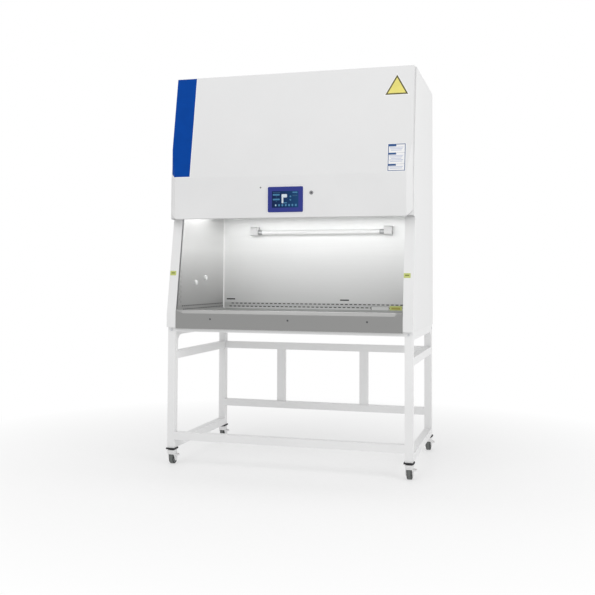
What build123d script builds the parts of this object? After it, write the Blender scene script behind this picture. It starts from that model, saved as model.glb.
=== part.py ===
from build123d import *

# Class II biosafety cabinet on a wheeled tube stand, in millimetres.
# +X is to the user's right, +Y points to the back and +Z up. The origin lies on the floor, under
# the middle of the cabinet's footprint. The sash is stored raised and every cover closed.

import os
from math import cos, radians, sin, tan

os.makedirs("parts", exist_ok=True)

# ---------------------------------------------------------------- driving dimensions
WIDTH = 1300  # outside of the side panels
DEPTH = 860  # front foot of the pillars to the back panel
TOP = 2066  # upper face of the top panel
UNDERSIDE = 722  # lower face of the cabinet, which is the top of the stand
FOOT_TOP = 793  # where the front stops being vertical and starts to lean back
TILT = radians(10)  # lean of the sash plane and of the upper cover

SKIN = 2  # painted outer sheet
LINER = 1.5  # stainless inner sheet
RUNNING = 0.05  # radial clearance of shafts and pins
CLEAR = 0.3  # gap between faces that pass each other

# case
PILLAR = 50  # width of each front pillar
PILLAR_RETURN = 16
PILLAR_TOP = 1900
EXHAUST_X = (-220, 220)
EXHAUST_SPAN = (275, 25)  # the exhaust opening's front and rear, from the chamber's back wall
EXHAUST_HIGH = 100  # exhaust filter
GUARD_EDGE = 15
GUARD_PITCH = (100, 24)
GUARD_GRID = (4, 9)
GUARD_SLOT = (86, 12)

# front cover
COVER_FACE = 15  # setback of the lower fascia from the front foot
COVER_BOTTOM = 1296
COVER_FOLD = 1512
COVER_DEEP = 30
COVER_SIDE_GAP = 6
COVER_BEVEL = 28
COVER_CORNER = 30
COVER_LIP = 53  # depth of the return under the fascia
PANEL_GAP = 4  # shut line between the cover's edge and the side panels
COVER_HINGE_INSET = 200  # from the side panels to the hinges' middles
HINGE_GAP = 5
HINGE_R = 4
HINGE_PIN_R = 2
HINGE_LEAF = 40  # length of the cover's knuckle
HINGE_EAR = 12
HINGE_SHEET = 2

# controls in the cover
SCREEN_X = -4
SCREEN_Z = 1388
SCREEN = (187, 131)
SCREEN_PROUD = 6
SCREEN_CHAMFER = 2
SCREEN_BODY = (160, 106)
DISPLAY = (141, 85)
DISPLAY_THICK = 1
LAMP_DOT = (-138, 1452)
DOT_R = 4
DOT_PROUD = 1.5
LOCK = (133, 1420)
LOCK_R = 8
LOCK_FLANGE = 2
LOCK_DEEP = 22
LOCK_PLUG_R = 5
KEY_PROUD = 0.5
KEYWAY = (1.6, 6, 8)  # width, height and depth
CAM_HALF = 5.5
CAM_LONG = 30
CAM_THICK = 2

# sash
OPENING = 488  # clear height with the sash raised
SASH_LOW = 818  # lower edge of the lowered sash
GLASS_HIGH = 570  # along the slope
GLASS = 6
GLASS_SET = 6  # depth of the glass's outer face behind the sash plane
GLASS_GRIP = 12  # how far the glass enters each guide
HANDLE_HIGH = 24
HANDLE_OUT = 10
HANDLE_INSET = 4
GUIDE_DEEP = 16
GUIDE_SLOP = 1
GUIDE_WALL = 7
GUIDE_FOOT = 4
LIGHT_RISE = (54, 92)  # lamp case along the slope above the cover's lower edge
LIGHT_OUT = 32
LIGHT_INSET = 12
LIGHT_RECESS = 10
LIGHT_EDGE = 5

# work chamber
WORK_TOP = 802  # rim of the work tray and top of the intake grille
TRAY_SINK = 12
TRAY_RIM = 16
TRAY_HIGH = 24
TRAY_GAP = 1
TRAY_CORNER = 8
LEDGE = 16
STRIP = 20  # depth of the side walls' front edge behind the pillars' front
BACK_DUCT = 115  # return duct between the chamber's back wall and the back of the cabinet
SHELF_Z = 1362  # top of the liners, where the filter shelf lies
SHELF_FRONT = 140
SLOT = (17, 5)
SLOT_PITCH = 27
SLOT_RISE = (36, 54)  # return slot rows above the tray's foot
EDGE_SLOT = (5, 12)  # upright slots along the side walls' front edge
EDGE_COLUMNS = (38, 55, 72)  # their distances behind the front foot
EDGE_MARGIN = 7  # sheet left in front of a slot
EDGE_LOW = 855
WALL_VENT = (54, 7)
WALL_VENTS = (-552, 151)  # middles of the two wide vents above the return slots
WALL_VENT_Z = 857
GRILLE_FRONT = 36
GRILLE_BACK = 112
GRILLE_SHEET = 1.5
GRILLE_SLOT = (34, 7)
GRILLE_PITCH = (46, 18)
GRILLE_ROWS = 3
PORTS = ((285, 958), (437, 984))  # blanked service ports: distance from the front, height
PLUG_R = 15
PLUG_OUT = 9
PLUG_EDGE = 3

# lamp on the back wall
LAMP_X = 10
LAMP_Z = 1256
LAMP_R = 13
LAMP_OUT = 30
LAMP_INSET = 220  # from the side walls to the ends of the glass
HOLDER_WIDE = 46
HOLDER_WALL = 3
HOLDER_LOW = 18
HOLDER_RISE = 32
HOLDER_EDGE = 8

# sheet-metal lip in front of the grille
LIP_LAP = 6
LIP_FOOT = 14
LIP_BEVEL_Z = 797
LIP_TOP = 815
LIP_CREST = 13
LIP_FLANGE = 10
LIP_END = 38  # length over which the bevel runs out into the face at each end
LIP_SCREWS = (-406, 14, 423)
LIP_SCREW_Z = 768
LIP_SCREW = (2.6, 5)  # radius of the hole and of its countersink

# air system
DIFFUSER_HIGH = 12
DIFFUSER_GAP = 2
SPREAD_PITCH = 120
SPREAD_WINDOW = (92, 30)
SUPPLY_HIGH = 72
FILTER_EDGE = 20
FILTER_RECESS = 6
FILTER_INSET = 10
FILTER_GAP = 5
PLENUM_FRONT = 200
PLENUM_TOP = 1560
FAN_INSET = (200, 185)  # fan centre from the inner side wall and from the back wall
FAN_UP = 180
FAN_R = 98
FAN_BLADES = 36
BLADE_IN = 76
BLADE_HOOK = 7
BLADE_CURVE = 24
BLADE_THICK = 1.5
FAN_HUB_R = 17
SHAFT_R = 7
SIDE_GAP = 10  # between the impeller and the housing's side walls
SCROLL_GAP = 18
SCROLL_STEP = 16  # growth of the scroll's radius each quarter turn
SCROLL_HALF = 70
OUTLET_FRONT = 50
TONGUE = 30
MOTOR_LONG = 84
MOTOR_R = 52
MOTOR_PLATE_R = 80
MOTOR_FINS = 16
MOTOR_FIN = (10, 3)
CONTROL = (260, 110, 240)
CONTROL_INSET = 30
CONTROL_EDGE = 4

# drain and mains inlet
DRAIN_INSET = (120, 45)  # from the left wall and from the back wall
DRAIN_FLANGE = (20, 4)
DRAIN_NECK_R = 11
VALVE_DROP = 24
VALVE_HALF = (16, 16, 14)
VALVE_EDGE = 5
SPIGOT_R = 8
SPIGOT_BORE_R = 5.5
SPIGOT_LONG = 25
GLAND_R = 7
GLAND_LONG = 8
STEM_R = 4
LEVER = (62, 14)
LEVER_THICK = 3
INLET_INSET = 130
INLET_Z = 1950
INLET = (50, 32)
INLET_BODY = (30, 22)
INLET_DEEP = 24
INLET_FLANGE = 3
INLET_CORNER = 5
SOCKET = (22, 14)
INLET_PIN = (2, 5)
PIN_PITCH = 6

# stand
TUBE = 40
TUBE_WALL = 2
STAND_INSET = 3
STAND_FRONT = 15
LEG_FOOT = 87
CROSSBAR = 22
FRONT_RAIL_Z = 131
MID_RAIL_Z = 555
LOW_RAIL_Z = 204
POST_X = 252  # middles of the rear posts
POST_WIDE = 50
POST_DEEP = 25
GUSSET = 48
BOLT_R = 6.5
BOLT_DROP = 14
BOLT_HEAD = 4
SIDE_BOLT_HEAD = 2

# casters
PAD = 50
PAD_THICK = 8
NECK_R = 15
NECK_HIGH = 4
KINGPIN_R = 6
KINGPIN_LONG = 8
HUB_R = 23
HUB_EDGE = 4
WHEEL_R = 31
WHEEL_GAP = 2.5
WHEEL_HUB_R = 10
WEB = 8
RIM = 4
RIM_R = 22
TREAD = 25
TYRE_CHAMFER = 3
TRAIL = 15
FORK_WIDE = 37
CHEEK_R = 15
CHEEK_GAP = 1.5
AXLE_R = 4
PEDAL_RISE = 16
PEDAL_WIDE = 20
PEDAL_THICK = 8
PEDAL_REACH = 36
PEDAL_PIN_R = 2
EAR_R = 5
EAR_THICK = 4

# ---------------------------------------------------------------- derived places
HALF = WIDTH / 2
FRONT = -DEPTH / 2
BACK = DEPTH / 2
INNER = HALF - PILLAR  # inner faces of the chamber's side walls
LEAN = tan(TILT)
WALL_Y = BACK - BACK_DUCT
FACE_Y = FRONT + COVER_FACE
TOP_COVER_Y = FACE_Y + (TOP - COVER_FOLD) * LEAN
HINGE_Y = TOP_COVER_Y + COVER_DEEP + HINGE_R + CLEAR
HINGE_Z = TOP - HINGE_R
TOP_FRONT = HINGE_Y + HINGE_GAP
RAISE = OPENING / cos(TILT)  # sash travel along its slope
LEG_X = HALF - STAND_INSET - TUBE / 2
LEG_Y = (FRONT + STAND_FRONT + TUBE / 2, BACK - STAND_FRONT - TUBE / 2)
BEAM_Z = UNDERSIDE - TUBE
PAN_HALF = HALF - 2 * SKIN
TRAY_LOW = WORK_TOP - TRAY_HIGH
EXHAUST_Y = (WALL_Y - EXHAUST_SPAN[0], WALL_Y - EXHAUST_SPAN[1])
INLET_X = HALF - INLET_INSET
INLET_BODY_X = (INLET_X - INLET_BODY[0] / 2, INLET_X + INLET_BODY[0] / 2)
INLET_BODY_Z = (INLET_Z - INLET_BODY[1] / 2, INLET_Z + INLET_BODY[1] / 2)
SASH_PLANE = Plane(origin=(0, FRONT, FOOT_TOP), x_dir=(1, 0, 0), z_dir=(0, -cos(TILT), sin(TILT)))


# ---------------------------------------------------------------- helpers
def save(piece, label):
    piece.part.label = label
    export_step(piece.part, f"parts/{label}.step")


def at_x(x):
    return Plane.YZ.offset(x)


def at_y(y):
    return Plane.XZ.offset(-y)


def block(x, y, z, mode=Mode.ADD):
    """A box between three (low, high) pairs."""
    with Locations((sum(x) / 2, sum(y) / 2, sum(z) / 2)):
        Box(x[1] - x[0], y[1] - y[0], z[1] - z[0], mode=mode)


def slope_block(x, up, out, mode=Mode.ADD):
    """A box on the sash plane: x, distance up the slope, and distance out of the plane."""
    with Locations(SASH_PLANE):
        with Locations((sum(x) / 2, sum(up) / 2, sum(out) / 2)):
            Box(x[1] - x[0], up[1] - up[0], out[1] - out[0], mode=mode)


def rod(start, radius, length, direction, mode=Mode.ADD):
    """A round bar from a point along a direction."""
    with Locations(Plane(origin=start, z_dir=direction)):
        Cylinder(radius, length, align=(Align.CENTER, Align.CENTER, Align.MIN), mode=mode)


def tube(x, y, z, along):
    """A square tube between three (low, high) pairs, open at its ends."""
    block(x, y, z)
    bore = [(low + TUBE_WALL, high - TUBE_WALL) for low, high in (x, y, z)]
    bore[along] = (x, y, z)[along]
    block(*bore, mode=Mode.SUBTRACT)


def front_y(z, depth=0):
    """Y of a surface that lies at a depth behind the pillars' front, at a height."""
    bend = FOOT_TOP - depth * tan(TILT / 2)
    if z <= bend:
        return FRONT + depth
    return FRONT + depth + (z - bend) * LEAN


def front_strip(near, far, low, high):
    """Side outline of a sheet that follows the pillars' front between two depths."""
    heights = [low, FOOT_TOP - near * tan(TILT / 2), high]
    outer = [(front_y(z, near), z) for z in heights]
    heights[1] = FOOT_TOP - far * tan(TILT / 2)
    inner = [(front_y(z, far), z) for z in heights]
    return outer + inner[::-1]


def up_slope(z):
    """Distance up the sash plane at which its surface reaches a height."""
    return (z - FOOT_TOP) / cos(TILT)


def mirrored(x, side):
    """A (low, high) pair on the right, or the same pair on the left."""
    return x if side > 0 else (-x[1], -x[0])


# ---------------------------------------------------------------- stand
LEG_INNER_X = LEG_X - TUBE / 2
LEG_OUTER_X = LEG_X + TUBE / 2
BETWEEN_X = (-LEG_INNER_X, LEG_INNER_X)
BETWEEN_Y = (LEG_Y[0] + TUBE / 2, LEG_Y[1] - TUBE / 2)
FRONT_TUBE_Y = (LEG_Y[0] - TUBE / 2, LEG_Y[0] + TUBE / 2)
REAR_TUBE_Y = (LEG_Y[1] - TUBE / 2, LEG_Y[1] + TUBE / 2)

with BuildPart() as stand_legs:
    for x in (-LEG_X, LEG_X):
        for y in LEG_Y:
            across = (x - TUBE / 2, x + TUBE / 2)
            tube(across, (y - TUBE / 2, y + TUBE / 2), (LEG_FOOT, BEAM_Z), 2)
save(stand_legs, "stand_legs")

# Welded top frame: side beams, rear beam, slimmer front bar and curved corner webs.
with BuildPart() as stand_top_frame:
    for side in (-1, 1):
        across = mirrored((LEG_INNER_X, LEG_OUTER_X), side)
        tube(across, (FRONT_TUBE_Y[0], REAR_TUBE_Y[1]), (BEAM_Z, UNDERSIDE), 1)
        for end in (FRONT_TUBE_Y[0], REAR_TUBE_Y[1] - TUBE_WALL):
            block(across, (end, end + TUBE_WALL), (BEAM_Z, UNDERSIDE))
        web = mirrored((LEG_INNER_X + TUBE_WALL, LEG_OUTER_X - TUBE_WALL), side)
        with BuildSketch(at_x(web[0])):
            for y, turn in ((BETWEEN_Y[0], 1), (BETWEEN_Y[1], -1)):
                with Locations((y + turn * GUSSET / 2, BEAM_Z - GUSSET / 2)):
                    Rectangle(GUSSET, GUSSET)
                with Locations((y + turn * GUSSET, BEAM_Z - GUSSET)):
                    Circle(GUSSET - TUBE_WALL, mode=Mode.SUBTRACT)
        extrude(amount=web[1] - web[0])
    tube(BETWEEN_X, REAR_TUBE_Y, (BEAM_Z, UNDERSIDE), 0)
    block(BETWEEN_X, (FRONT_TUBE_Y[0], FRONT_TUBE_Y[0] + CROSSBAR), (UNDERSIDE - CROSSBAR, UNDERSIDE))
save(stand_top_frame, "stand_top_frame")

with BuildPart() as stand_rear_frame:
    for z in (LOW_RAIL_Z, MID_RAIL_Z):
        tube(BETWEEN_X, REAR_TUBE_Y, (z, z + TUBE), 0)
    for x in (-POST_X, POST_X):
        across = (x - POST_WIDE / 2, x + POST_WIDE / 2)
        along = (LEG_Y[1] - POST_DEEP / 2, LEG_Y[1] + POST_DEEP / 2)
        tube(across, along, (LOW_RAIL_Z + TUBE, MID_RAIL_Z), 2)
save(stand_rear_frame, "stand_rear_frame")

with BuildPart() as stand_rails:
    tube(BETWEEN_X, FRONT_TUBE_Y, (FRONT_RAIL_Z, FRONT_RAIL_Z + TUBE), 0)
    for side in (-1, 1):
        across = mirrored((LEG_INNER_X, LEG_OUTER_X), side)
        for z in (LEG_FOOT, MID_RAIL_Z):
            tube(across, BETWEEN_Y, (z, z + TUBE), 1)
save(stand_rails, "stand_rails")

with BuildPart() as stand_bolts:
    for side in (-1, 1):
        with BuildSketch(at_y(FRONT_TUBE_Y[0])):
            with Locations((side * LEG_X, UNDERSIDE - BOLT_DROP)):
                RegularPolygon(BOLT_R, 6)
        extrude(amount=BOLT_HEAD)
        with BuildSketch(at_x(side * LEG_OUTER_X)):
            with Locations((LEG_Y[1], BEAM_Z + TUBE / 2)):
                RegularPolygon(BOLT_R, 6)
        extrude(amount=side * SIDE_BOLT_HEAD)
save(stand_bolts, "stand_bolts")


# ---------------------------------------------------------------- casters
HUB_TOP = LEG_FOOT - PAD_THICK - NECK_HIGH - CLEAR
KINGPIN_FOOT = HUB_TOP - KINGPIN_LONG
POCKET_R = WHEEL_R + WHEEL_GAP
POCKET_HALF = TREAD / 2 + CHEEK_GAP
PEDAL_HINGE_X = FORK_WIDE / 2 + EAR_R
PEDAL_HINGE_Z = WHEEL_R + PEDAL_RISE
CORNERS = (
    ("fl", -LEG_X, LEG_Y[0]),
    ("fr", LEG_X, LEG_Y[0]),
    ("rl", -LEG_X, LEG_Y[1]),
    ("rr", LEG_X, LEG_Y[1]),
)

with BuildPart() as caster_pads:
    for _, x, y in CORNERS:
        block(
            (x - PAD / 2, x + PAD / 2),
            (y - PAD / 2, y + PAD / 2),
            (LEG_FOOT - PAD_THICK, LEG_FOOT),
        )
        rod((x, y, HUB_TOP + CLEAR), NECK_R, NECK_HIGH, (0, 0, 1))
        rod((x, y, KINGPIN_FOOT), KINGPIN_R, LEG_FOOT - PAD_THICK - KINGPIN_FOOT, (0, 0, 1))
save(caster_pads, "caster_pads")

for name, x, y in CORNERS:
    axle_y = y + TRAIL
    hinge_x = x + PEDAL_HINGE_X
    axle = Axis((x, axle_y, WHEEL_R), (1, 0, 0))
    wheel_plane = Plane(origin=(x, axle_y, WHEEL_R), x_dir=(1, 0, 0), z_dir=(0, -1, 0))

    # Housing: a hood that tapers from the swivel hub to two cheeks round the axle.
    with BuildPart() as caster_fork:
        with BuildSketch(at_x(x)):
            with Locations((axle_y, WHEEL_R)):
                Circle(CHEEK_R)
            with Locations((y, HUB_TOP - HUB_EDGE / 2)):
                Rectangle(2 * HUB_R, HUB_EDGE)
            make_hull()
        extrude(amount=FORK_WIDE / 2, both=True)
        chamfer(caster_fork.edges().filter_by(Axis.Z), length=HUB_EDGE)
        rod((x - POCKET_HALF, axle_y, WHEEL_R), POCKET_R, 2 * POCKET_HALF, (1, 0, 0), Mode.SUBTRACT)
        block(
            (x - POCKET_HALF, x + POCKET_HALF),
            (axle_y - POCKET_R, axle_y + POCKET_R),
            (0, WHEEL_R),
            Mode.SUBTRACT,
        )
        rod((x, y, KINGPIN_FOOT), KINGPIN_R + RUNNING, KINGPIN_LONG, (0, 0, 1), Mode.SUBTRACT)
        rod((x - FORK_WIDE / 2, axle_y, WHEEL_R), AXLE_R, FORK_WIDE, (1, 0, 0))
        for turn in (-1, 1):
            ear = axle_y + turn * (PEDAL_WIDE / 2 + EAR_THICK / 2 + CLEAR)
            block(
                (x + POCKET_HALF, hinge_x),
                (ear - EAR_THICK / 2, ear + EAR_THICK / 2),
                (PEDAL_HINGE_Z - EAR_R, PEDAL_HINGE_Z + EAR_R),
            )
            rod((hinge_x, ear - EAR_THICK / 2, PEDAL_HINGE_Z), EAR_R, EAR_THICK, (0, 1, 0))
        pin_half = PEDAL_WIDE / 2 + EAR_THICK / 2
        rod((hinge_x, axle_y - pin_half, PEDAL_HINGE_Z), PEDAL_PIN_R, 2 * pin_half, (0, 1, 0))
    save(caster_fork, f"caster_fork_{name}")

    # Wheel core: hub, thin web and rim.
    with BuildPart() as caster_wheel:
        with BuildSketch(wheel_plane):
            with Locations((0, (AXLE_R + RUNNING + WHEEL_HUB_R) / 2)):
                Rectangle(TREAD + CHEEK_GAP, WHEEL_HUB_R - AXLE_R - RUNNING)
            with Locations((0, (WHEEL_HUB_R + RIM_R - RIM) / 2)):
                Rectangle(WEB, RIM_R - WHEEL_HUB_R)
            with Locations((0, RIM_R - RIM / 2)):
                Rectangle(TREAD - 2 * CHEEK_GAP, RIM)
        revolve(axis=axle)
    save(caster_wheel, f"caster_wheel_{name}")

    with BuildPart() as caster_tyre:
        with BuildSketch(wheel_plane):
            with Locations((0, (RIM_R + WHEEL_R) / 2)):
                tread = Rectangle(TREAD, WHEEL_R - RIM_R)
            chamfer(tread.vertices().group_by(Axis.Y)[-1], length=TYRE_CHAMFER)
        revolve(axis=axle)
    save(caster_tyre, f"caster_tyre_{name}")

    # Brake pedal on the housing's side, with a hub on the hinge pin.
    with BuildPart() as caster_brake:
        pedal_y = axle_y - PEDAL_WIDE / 2
        rod((hinge_x, pedal_y, PEDAL_HINGE_Z), EAR_R - 1, PEDAL_WIDE, (0, 1, 0))
        with BuildSketch(Plane.XY.offset(PEDAL_HINGE_Z - PEDAL_THICK / 2)):
            with Locations(((hinge_x + x + PEDAL_REACH) / 2, axle_y)):
                Rectangle(PEDAL_REACH - PEDAL_HINGE_X, PEDAL_WIDE)
        extrude(amount=PEDAL_THICK)
        fillet(caster_brake.edges().filter_by(Axis.Z).group_by(Axis.X)[-1], radius=EAR_R)
        rod((hinge_x, pedal_y, PEDAL_HINGE_Z), PEDAL_PIN_R + RUNNING, PEDAL_WIDE, (0, 1, 0), Mode.SUBTRACT)
    save(caster_brake, f"caster_brake_{name}")


# ---------------------------------------------------------------- outer case
BETWEEN_SKINS = (-HALF + SKIN, HALF - SKIN)
PANEL_EDGE_Y = FACE_Y + COVER_DEEP + PANEL_GAP  # front edge of the side panels behind the cover
PANEL_STEP_Z = TOP - 2 * HINGE_R - PANEL_GAP
side_outline = [
    (FRONT, UNDERSIDE),
    (BACK, UNDERSIDE),
    (BACK, TOP),
    (TOP_FRONT, TOP),
    (TOP_FRONT, PANEL_STEP_Z),
    (PANEL_EDGE_Y + (PANEL_STEP_Z - COVER_FOLD) * LEAN, PANEL_STEP_Z),
    (PANEL_EDGE_Y, COVER_FOLD),
    (PANEL_EDGE_Y, COVER_BOTTOM),
    (front_y(COVER_BOTTOM), COVER_BOTTOM),
    (FRONT, FOOT_TOP),
]
with BuildPart() as side_panels:
    for x in (-HALF, HALF - SKIN):
        with BuildSketch(at_x(x)):
            with BuildLine():
                Polyline(side_outline, close=True)
            make_face()
        extrude(amount=SKIN)
save(side_panels, "side_panels")

with BuildPart() as back_panel:
    block(BETWEEN_SKINS, (BACK - SKIN, BACK), (UNDERSIDE, TOP))
    block(INLET_BODY_X, (BACK - SKIN, BACK), INLET_BODY_Z, Mode.SUBTRACT)
save(back_panel, "back_panel")

with BuildPart() as top_panel:
    block(BETWEEN_SKINS, (TOP_FRONT, BACK - SKIN), (TOP - SKIN, TOP))
    block(EXHAUST_X, EXHAUST_Y, (TOP - SKIN, TOP), Mode.SUBTRACT)
save(top_panel, "top_panel")

GUARD_X = (EXHAUST_X[0] - GUARD_EDGE, EXHAUST_X[1] + GUARD_EDGE)
GUARD_Y = (EXHAUST_Y[0] - GUARD_EDGE, EXHAUST_Y[1] + GUARD_EDGE)
with BuildPart() as exhaust_guard:
    with BuildSketch(Plane.XY.offset(TOP)):
        with Locations((0, sum(GUARD_Y) / 2)):
            Rectangle(GUARD_X[1] - GUARD_X[0], GUARD_Y[1] - GUARD_Y[0])
            with GridLocations(*GUARD_PITCH, *GUARD_GRID):
                Rectangle(*GUARD_SLOT, mode=Mode.SUBTRACT)
    extrude(amount=SKIN)
save(exhaust_guard, "exhaust_guard")

PAN_Y = (FRONT + SKIN, BACK - SKIN)
PAN_TOP = TRAY_LOW - SKIN
with BuildPart() as drip_pan:
    block((-PAN_HALF, PAN_HALF), PAN_Y, (UNDERSIDE, PAN_TOP))
    block(
        (-PAN_HALF + SKIN, PAN_HALF - SKIN),
        (PAN_Y[0] + SKIN, PAN_Y[1] - SKIN),
        (UNDERSIDE + SKIN, PAN_TOP),
        Mode.SUBTRACT,
    )
save(drip_pan, "drip_pan")

with BuildPart() as front_pillars:
    for side in (-1, 1):
        face = mirrored((INNER, HALF - SKIN), side)
        edge = mirrored((PAN_HALF, HALF - SKIN), side)
        for across, depth in ((face, SKIN), (edge, PILLAR_RETURN)):
            with BuildSketch(at_x(across[0])):
                with BuildLine():
                    Polyline(front_strip(0, depth, UNDERSIDE, PILLAR_TOP), close=True)
                make_face()
            extrude(amount=across[1] - across[0])
save(front_pillars, "front_pillars")


# ---------------------------------------------------------------- work chamber
LINER_LOW = UNDERSIDE + SKIN
SLOT_ROWS = [TRAY_LOW + rise for rise in SLOT_RISE]
SIDE_SLOTS = int((WALL_Y - FRONT - GRILLE_BACK + 2 * SLOT_PITCH) // SLOT_PITCH) - 1
BACK_SLOTS = int((2 * INNER - SLOT_PITCH) // SLOT_PITCH) - 1
liner_outline = front_strip(STRIP, STRIP, LINER_LOW, SHELF_Z)[:3]
liner_outline += [(WALL_Y + LINER, SHELF_Z), (WALL_Y + LINER, LINER_LOW)]
edge_slots = []
for row, depth in enumerate(EDGE_COLUMNS):
    sheet = depth - STRIP - EDGE_MARGIN - EDGE_SLOT[0] / 2
    reach = FOOT_TOP + sheet / LEAN - EDGE_SLOT[1] / 2
    z = EDGE_LOW + (row % 2) * SLOT_PITCH / 2
    while z < reach:
        edge_slots.append((FRONT + depth, z))
        z += SLOT_PITCH

with BuildPart() as chamber_side_walls:
    for side in (-1, 1):
        across = mirrored((INNER, INNER + LINER), side)
        with BuildSketch(at_x(across[0])):
            with BuildLine():
                Polyline(liner_outline, close=True)
            make_face()
            for row, z in enumerate(SLOT_ROWS):
                for k in range(SIDE_SLOTS):
                    with Locations((WALL_Y - SLOT_PITCH * (k + (row + 1) / 2), z)):
                        Rectangle(*SLOT, mode=Mode.SUBTRACT)
            with Locations(*edge_slots):
                Rectangle(*EDGE_SLOT, mode=Mode.SUBTRACT)
        extrude(amount=LINER)
        # Inward ledge that carries the tray and the grille.
        ledge = mirrored((INNER - LEDGE, INNER), side)
        block(ledge, (FRONT + GRILLE_FRONT, WALL_Y), (TRAY_LOW - LINER, TRAY_LOW))
save(chamber_side_walls, "chamber_side_walls")

with BuildPart() as chamber_wall_back:
    with BuildSketch(at_y(WALL_Y)):
        with Locations((0, (TRAY_LOW + SHELF_Z) / 2)):
            Rectangle(2 * INNER, SHELF_Z - TRAY_LOW)
        for row, z in enumerate(SLOT_ROWS):
            with Locations((row * SLOT_PITCH / 2, z)):
                with GridLocations(SLOT_PITCH, 1, BACK_SLOTS, 1):
                    Rectangle(*SLOT, mode=Mode.SUBTRACT)
        for x in WALL_VENTS:
            with Locations((x, WALL_VENT_Z)):
                Rectangle(*WALL_VENT, mode=Mode.SUBTRACT)
    extrude(amount=-LINER)
save(chamber_wall_back, "chamber_wall_back")

TRAY_X = (-INNER + TRAY_GAP, INNER - TRAY_GAP)
TRAY_Y = (FRONT + GRILLE_BACK + TRAY_GAP, WALL_Y - TRAY_GAP)
with BuildPart() as work_tray:
    block(TRAY_X, TRAY_Y, (TRAY_LOW, WORK_TOP))
    block(
        (TRAY_X[0] + TRAY_RIM, TRAY_X[1] - TRAY_RIM),
        (TRAY_Y[0] + TRAY_RIM, TRAY_Y[1] - TRAY_RIM),
        (WORK_TOP - TRAY_SINK, WORK_TOP),
        Mode.SUBTRACT,
    )
    fillet(work_tray.edges().filter_by(Axis.Z).group_by(SortBy.LENGTH)[0], radius=TRAY_CORNER)
    block(
        (TRAY_X[0] + SKIN, TRAY_X[1] - SKIN),
        (TRAY_Y[0] + SKIN, TRAY_Y[1] - SKIN),
        (TRAY_LOW, WORK_TOP - TRAY_SINK - SKIN),
        Mode.SUBTRACT,
    )
save(work_tray, "work_tray")

# Folded lip: a vertical face, a leaning bevel, a rounded crest and a flange under the grille.
lip_line = [
    (FRONT + LIP_FOOT, UNDERSIDE - LIP_LAP),
    (FRONT, UNDERSIDE - LIP_LAP),
    (FRONT, LIP_BEVEL_Z),
    (FRONT + LIP_CREST - 4, LIP_TOP - 2),
    (FRONT + LIP_CREST, LIP_TOP),
    (FRONT + LIP_CREST + 5, LIP_TOP - 1),
    (FRONT + GRILLE_FRONT - 6, WORK_TOP - GRILLE_SHEET),
    (FRONT + GRILLE_FRONT + LIP_FLANGE, WORK_TOP - GRILLE_SHEET),
]


def lip_end(side):
    """Corner fold that fills the bevel at one end, cut by the plane from the bevel to the face."""
    tip, root = side * TRAY_X[1], side * (TRAY_X[1] - LIP_END)
    foot, crest = (FRONT, LIP_BEVEL_Z), (FRONT + LIP_CREST, LIP_TOP)
    low, high, end = (Vector(root, *foot), Vector(root, *crest), Vector(tip, FRONT, LIP_TOP - 1))
    with BuildPart() as fold:
        with BuildSketch(at_x(min(tip, root))):
            with BuildLine():
                Polyline(foot, (FRONT, LIP_TOP), crest, close=True)
            make_face()
        extrude(amount=LIP_END)
        across = (high - low).cross(end - low)
        split(bisect_by=Plane(origin=low, z_dir=across * side), keep=Keep.TOP)
    return fold.part


lip_ends = [lip_end(side) for side in (-1, 1)]
with BuildPart() as front_lip:
    with BuildSketch(at_x(TRAY_X[0])):
        with BuildLine():
            Polyline(lip_line)
            offset(amount=SKIN, side=Side.RIGHT)
        make_face()
    extrude(amount=TRAY_X[1] - TRAY_X[0])
    add(lip_ends)
    with Locations(Plane(origin=(0, FRONT, LIP_SCREW_Z), x_dir=(1, 0, 0), z_dir=(0, -1, 0))):
        with Locations(*[(x, 0) for x in LIP_SCREWS]):
            CounterSinkHole(*LIP_SCREW, depth=SKIN)
save(front_lip, "front_lip")

GRILLE_Y = (FRONT + GRILLE_FRONT, FRONT + GRILLE_BACK)
GRILLE_COLUMNS = int((TRAY_X[1] - TRAY_X[0]) // GRILLE_PITCH[0]) - 1
with BuildPart() as intake_grille:
    with BuildSketch(Plane.XY.offset(WORK_TOP - GRILLE_SHEET)):
        with Locations((0, sum(GRILLE_Y) / 2)):
            Rectangle(TRAY_X[1] - TRAY_X[0], GRILLE_Y[1] - GRILLE_Y[0])
            with GridLocations(*GRILLE_PITCH, GRILLE_COLUMNS, GRILLE_ROWS):
                Rectangle(*GRILLE_SLOT, mode=Mode.SUBTRACT)
    extrude(amount=GRILLE_SHEET)
    block(TRAY_X, (GRILLE_Y[1] - GRILLE_SHEET, GRILLE_Y[1]), (TRAY_LOW, WORK_TOP - GRILLE_SHEET))
save(intake_grille, "intake_grille")

with BuildPart() as service_plugs:
    for distance, z in PORTS:
        rod((-INNER, FRONT + distance, z), PLUG_R, PLUG_OUT, (1, 0, 0))
    chamfer(service_plugs.edges().group_by(Axis.X)[-1], length=PLUG_EDGE)
save(service_plugs, "service_plugs")

LAMP_Y = WALL_Y - LAMP_OUT
LAMP_HALF = INNER - LAMP_INSET
with BuildPart() as uv_lamp:
    rod((LAMP_X - LAMP_HALF, LAMP_Y, LAMP_Z), LAMP_R, 2 * LAMP_HALF, (1, 0, 0))
save(uv_lamp, "uv_lamp")

with BuildPart() as lamp_holders:
    for side in (-1, 1):
        near = LAMP_X + side * LAMP_HALF
        across = sorted((near, near + side * HOLDER_WIDE))
        block(across, (LAMP_Y - LAMP_R - HOLDER_WALL, WALL_Y), (LAMP_Z - HOLDER_LOW, LAMP_Z + HOLDER_RISE))
    fillet(lamp_holders.edges().filter_by(Axis.X).group_by(Axis.Y)[0], radius=HOLDER_EDGE)
save(lamp_holders, "lamp_holders")


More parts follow.
